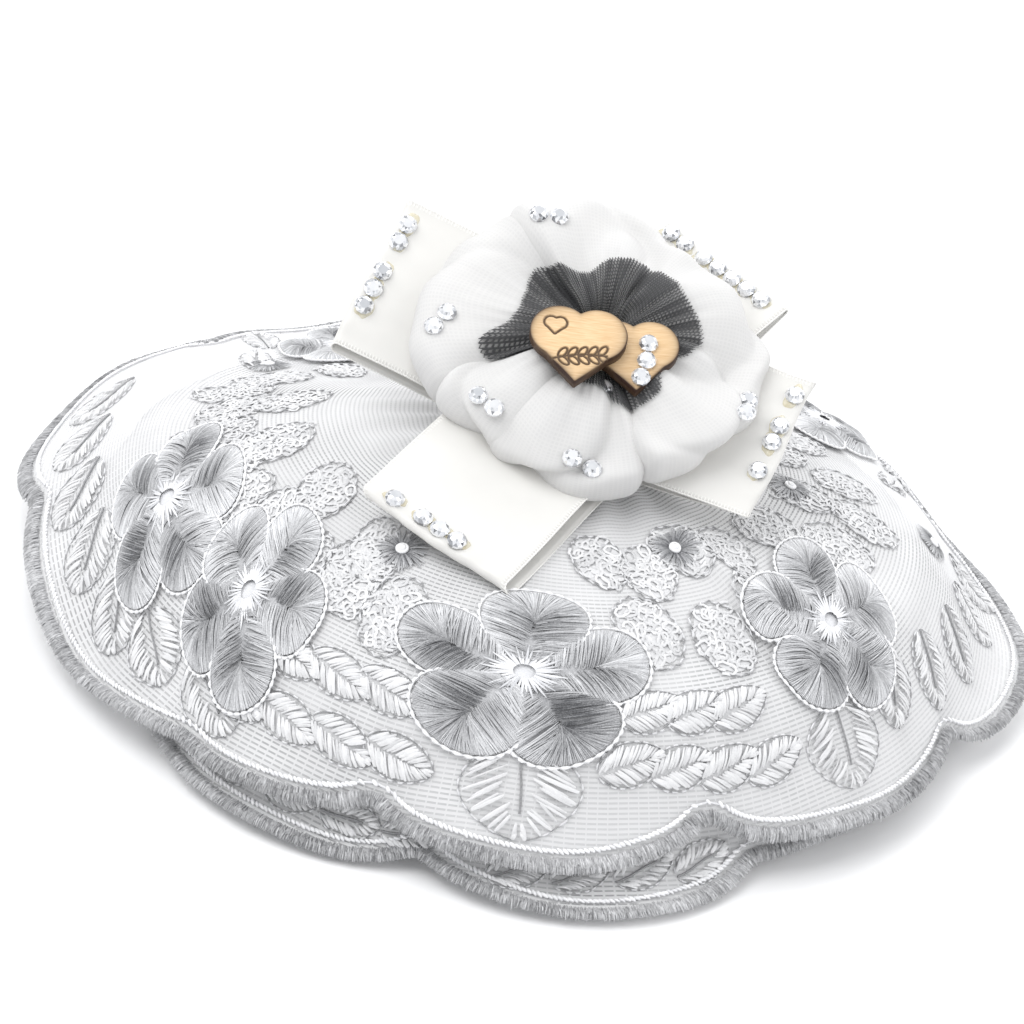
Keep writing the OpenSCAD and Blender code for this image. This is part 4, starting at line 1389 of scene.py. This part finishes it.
def sheer_material(name, base, shade, closed, roughness, weave, threads_mm=0.85):
    """Sheer gathered cloth: an even mesh of threads, with holes that are closed to that share."""
    s = Shader(name)
    u, v = s.uv()
    across = s.math("SINE", s.math("MULTIPLY", u, 2 * math.pi / threads_mm))
    along = s.math("SINE", s.math("MULTIPLY", v, 2 * math.pi / threads_mm))
    mesh = s.math("ADD", s.math("MULTIPLY", s.math("MAXIMUM", across, along), 0.5), 0.5)
    mesh = s.ramp(mesh, [(0.4, (0, 0, 0)), (0.9, (1, 1, 1))])
    cloudy = s.noise(70, 3)
    factor = s.math("ADD", s.math("MULTIPLY", mesh, weave), s.math("MULTIPLY", cloudy, 1 - weave))
    colour = s.ramp(factor, [(0.25, shade), (0.75, base)])
    cloth = s.node("BsdfPrincipled", {"Base Color": colour, "Normal": s.bump(mesh, weave, 0.00003),
                                      "Roughness": roughness, "Sheen Weight": 0.1})
    glow = s.node("BsdfTranslucent", {"Color": colour})
    soft = s.node("MixShader", {0: 0.2, 1: cloth.outputs[0], 2: glow.outputs[0]})
    pleats = s.node("CombineXYZ", {0: s.math("MULTIPLY", u, 0.55),
                                   1: s.math("MULTIPLY", v, 0.08)}).outputs[0]
    doubled = s.ramp(s.noise(1.0, 1, vector=pleats), [(0.46, (0, 0, 0)), (0.6, (1, 1, 1))])
    holes = s.math("ADD", closed, s.math("MULTIPLY", doubled, 0.6 * (1 - closed)))
    solid = s.math("ADD", holes, s.math("MULTIPLY", mesh, 1 - closed), clamp=True)
    clear = s.node("BsdfTransparent")
    both = s.node("MixShader", {0: solid, 1: clear.outputs[0], 2: soft.outputs[0]})
    return s.finish(both.outputs[0])


def wood_material():
    """Birch ply with fine grain, scorched brown where tone is high."""
    s = Shader("birch")
    u, v = s.uv()
    stretched = s.node("CombineXYZ", {0: s.math("MULTIPLY", u, 0.09), 1: v}).outputs[0]
    grain = s.node("TexNoise", {"Vector": stretched, "Scale": 2.6, "Detail": 5.0}).outputs[0]
    plain = s.ramp(grain, [(0.3, (0.66, 0.44, 0.23)), (0.7, (0.83, 0.61, 0.37))])
    burnt = s.mix_colour(s.attribute("tone"), plain, (0.035, 0.014, 0.007))
    made = s.node("BsdfPrincipled", {"Base Color": burnt, "Normal": s.bump(grain, 0.25, 0.0001),
                                     "Roughness": 0.5, "Specular IOR Level": 0.35})
    return s.finish(made.outputs[0])


def stone_material():
    """Foil-backed glass under a polished surface; its bright and dark facets are painted reflections."""
    s = Shader("foiled_glass")
    colour = s.ramp(s.attribute("tone"), [(0, (0.10, 0.105, 0.115)),
                                          (0.3, (0.62, 0.64, 0.67)),
                                          (0.6, (0.97, 0.98, 1))])
    colour = s.mix_colour(0.15, colour, s.ramp(s.noise(500, 1), [(0.3, (0.5, 0.5, 0.55)), (0.7, (1, 1, 1))]))
    made = s.node("BsdfPrincipled", {"Base Color": colour, "Metallic": 0.55, "Roughness": 0.08,
                                     "Coat Weight": 1.0, "Coat Roughness": 0.02})
    return s.finish(made.outputs[0])


def glue_material():
    """Clear yellowish hot glue."""
    s = Shader("hot_glue")
    cloudy = s.noise(300, 3)
    colour = s.ramp(cloudy, [(0.3, (0.78, 0.70, 0.48)), (0.7, (0.88, 0.84, 0.68))])
    body = s.node("BsdfPrincipled", {"Base Color": colour, "Normal": s.bump(cloudy, 0.3, 0.0003),
                                     "Roughness": 0.15})
    clear = s.node("BsdfTransparent")
    both = s.node("MixShader", {0: 0.62, 1: clear.outputs[0], 2: body.outputs[0]})
    return s.finish(both.outputs[0])


materials = {
    "tulle": tulle_material("tulle"),
    "border": thread_material("border_thread", (0.14, 0.141, 0.147), (0.78, 0.782, 0.795), 0.45, 0.2),
    "white_thread": thread_material("white_thread", (0.45, 0.46, 0.49), (0.97, 0.97, 0.98), 0.5, 0.25, 0.4),
    "leaf": thread_material("leaf_thread", (0.42, 0.422, 0.432), (0.8, 0.8, 0.806), 0.5, 0.15, 0.4),
    "flower": thread_material("flower_thread", (0.1, 0.102, 0.11), (0.9, 0.905, 0.92), 0.36, 0.1),
    "cover": woven_material("cover_cloth", (0.95, 0.95, 0.955), (0.88, 0.88, 0.89), 0.9, 0.7, 0.3),
    "ribbon": woven_material("satin_ribbon", (0.85, 0.84, 0.81), (0.79, 0.78, 0.75), 0.35, 0.40, 0.1,
                             bump_mm=0.012, translucent=0.12),
    "ribbon_edge": thread_material("selvedge", (0.50, 0.49, 0.45), (0.90, 0.89, 0.86), 0.5, 0.2),
    "chiffon": sheer_material("chiffon", (0.82, 0.813, 0.80), (0.76, 0.756, 0.75), 0.97, 0.7, 0.12),
    "organza": sheer_material("organza", (0.06, 0.061, 0.064), (0.02, 0.02, 0.022), 0.14, 0.6, 0.5),
    "felt": plain_material("felt", (0.72, 0.72, 0.73), (0.84, 0.84, 0.84), 400, 0.9),
    "glue": glue_material(),
    "wood": wood_material(),
    "stone": stone_material(),
}


# ---------------------------------------------------------------- room, light and camera

def floor():
    """A pale table top that curves up behind the object, like a paper sweep."""
    flat_end, bend_r = 700, 500
    bend = np.linspace(0.1, math.pi / 2, 10)
    depth = np.concatenate([np.linspace(-900, flat_end, 20), flat_end + bend_r * np.sin(bend)])
    rise = np.concatenate([np.zeros(20), bend_r * (1 - np.cos(bend))])
    depth, rise = np.append(depth, flat_end + bend_r), np.append(rise, 1600)
    width = np.linspace(-1500, 1500, 4)
    points = points_of(width[None, :], depth[:, None], rise[:, None])
    mesh = bpy.data.meshes.new("table_top")
    mesh.from_pydata([tuple(p) for p in points.reshape(-1, 3) * MM], [], grid_quads(len(depth), 4).tolist())
    mesh.shade_smooth()
    s = Shader("table_paper")
    colour = s.ramp(s.noise(6, 2), [(0.3, (0.925, 0.925, 0.93)), (0.7, (0.94, 0.94, 0.942))])
    made = s.node("BsdfPrincipled", {"Base Color": colour, "Roughness": 0.8})
    mesh.materials.append(s.finish(made.outputs[0]))
    piece = bpy.data.objects.new("table_top", mesh)
    bpy.context.scene.collection.objects.link(piece)


LIGHT_AIM = (0, 0, 0.03)
# Soft boxes: name, place in metres, side in metres, watts
LIGHTS = [("key", (-0.5, -0.1, 0.95), 0.9, 7.1),
          ("fill", (0.9, -0.3, 0.7), 0.8, 3),
          ("back", (0.3, 0.9, 0.8), 0.8, 4)]


def soft_light(name, at, size, watts):
    """A square white soft box aimed at the pillow."""
    lamp = bpy.data.lights.new(name, "AREA")
    lamp.size = size
    lamp.energy = watts
    piece = bpy.data.objects.new(name, lamp)
    piece.location = at
    piece.rotation_euler = (Vector(LIGHT_AIM) - Vector(at)).to_track_quat("-Z", "Y").to_euler()
    bpy.context.scene.collection.objects.link(piece)


def world():
    """Even, almost white light from all round."""
    made = bpy.data.worlds.new("studio")
    made.use_nodes = True
    background = made.node_tree.nodes["Background"]
    background.inputs["Color"].default_value = (0.97, 0.98, 1.0, 1)
    background.inputs["Strength"].default_value = 0.80
    bpy.context.scene.world = made


CAMERA_AIM = (-0.006, 0, 0.021)
CAMERA_DISTANCE = 0.6
CAMERA_UP = 33        # degrees above the table
CAMERA_ROLL = 9.5
CAMERA_LENS = 83.7    # focal length in millimetres


def camera():
    """The photo's view, from the front, with the camera rolled a little."""
    elevation, roll = math.radians(CAMERA_UP), math.radians(CAMERA_ROLL)
    back = Vector((0, -math.cos(elevation), math.sin(elevation)))
    flat = Vector((1, 0, 0))
    up = back.cross(flat)
    right = flat * math.cos(roll) + up * math.sin(roll)
    over = up * math.cos(roll) - flat * math.sin(roll)
    lens = bpy.data.cameras.new("photo_view")
    lens.sensor_width = 36
    lens.lens = CAMERA_LENS
    piece = bpy.data.objects.new("photo_view", lens)
    turn = Matrix((right, over, back)).transposed()
    place = Vector(CAMERA_AIM) + back * CAMERA_DISTANCE
    piece.matrix_world = Matrix.Translation(place) @ turn.to_4x4()
    bpy.context.scene.collection.objects.link(piece)
    bpy.context.scene.camera = piece


# ---------------------------------------------------------------- assembly

pillow = cushion()
embroider()
for tier, side in ((lower, "lower"), (upper, "upper")):
    net, size, area = tulle_sheet(tier, side + "_net", [side + "_tulle"])
    border(tier, side + "_hem_band", side + "_border")
    border_core(tier, side + "_hem_padding")
    hem_cord(tier, side + "_hem_cord", side + "_cord")

over_band, _, over_length = ribbon_band("ribbon_over_loop", "ribbon_over", LEFT, RIGHT, 0.4)
under_band, _, under_length = ribbon_band("ribbon_under_loop", "ribbon_under", FRONT, BACK, 1.9)
puffs, ruffle = rosette()
low_disc("felt_pad", [8, -2, 51.8], 13, 1.5, "bow_felt", False)
low_disc("rosette_pad", [0, 6, 2], 17, 1.5, "rosette_base", True)
bow_stitching()
heart("front_heart", [-5.2, -8.2, 20.6], 3, 13.1, "heart_front", True)
heart("back_heart", [8.6, -6.1, 17.2], 9, 12.3, "heart_back", False)
glue_blob()
all_stones()

floor()
for light in LIGHTS:
    soft_light(*light)
world()
camera()
bpy.context.scene.view_settings.view_transform = "Standard"
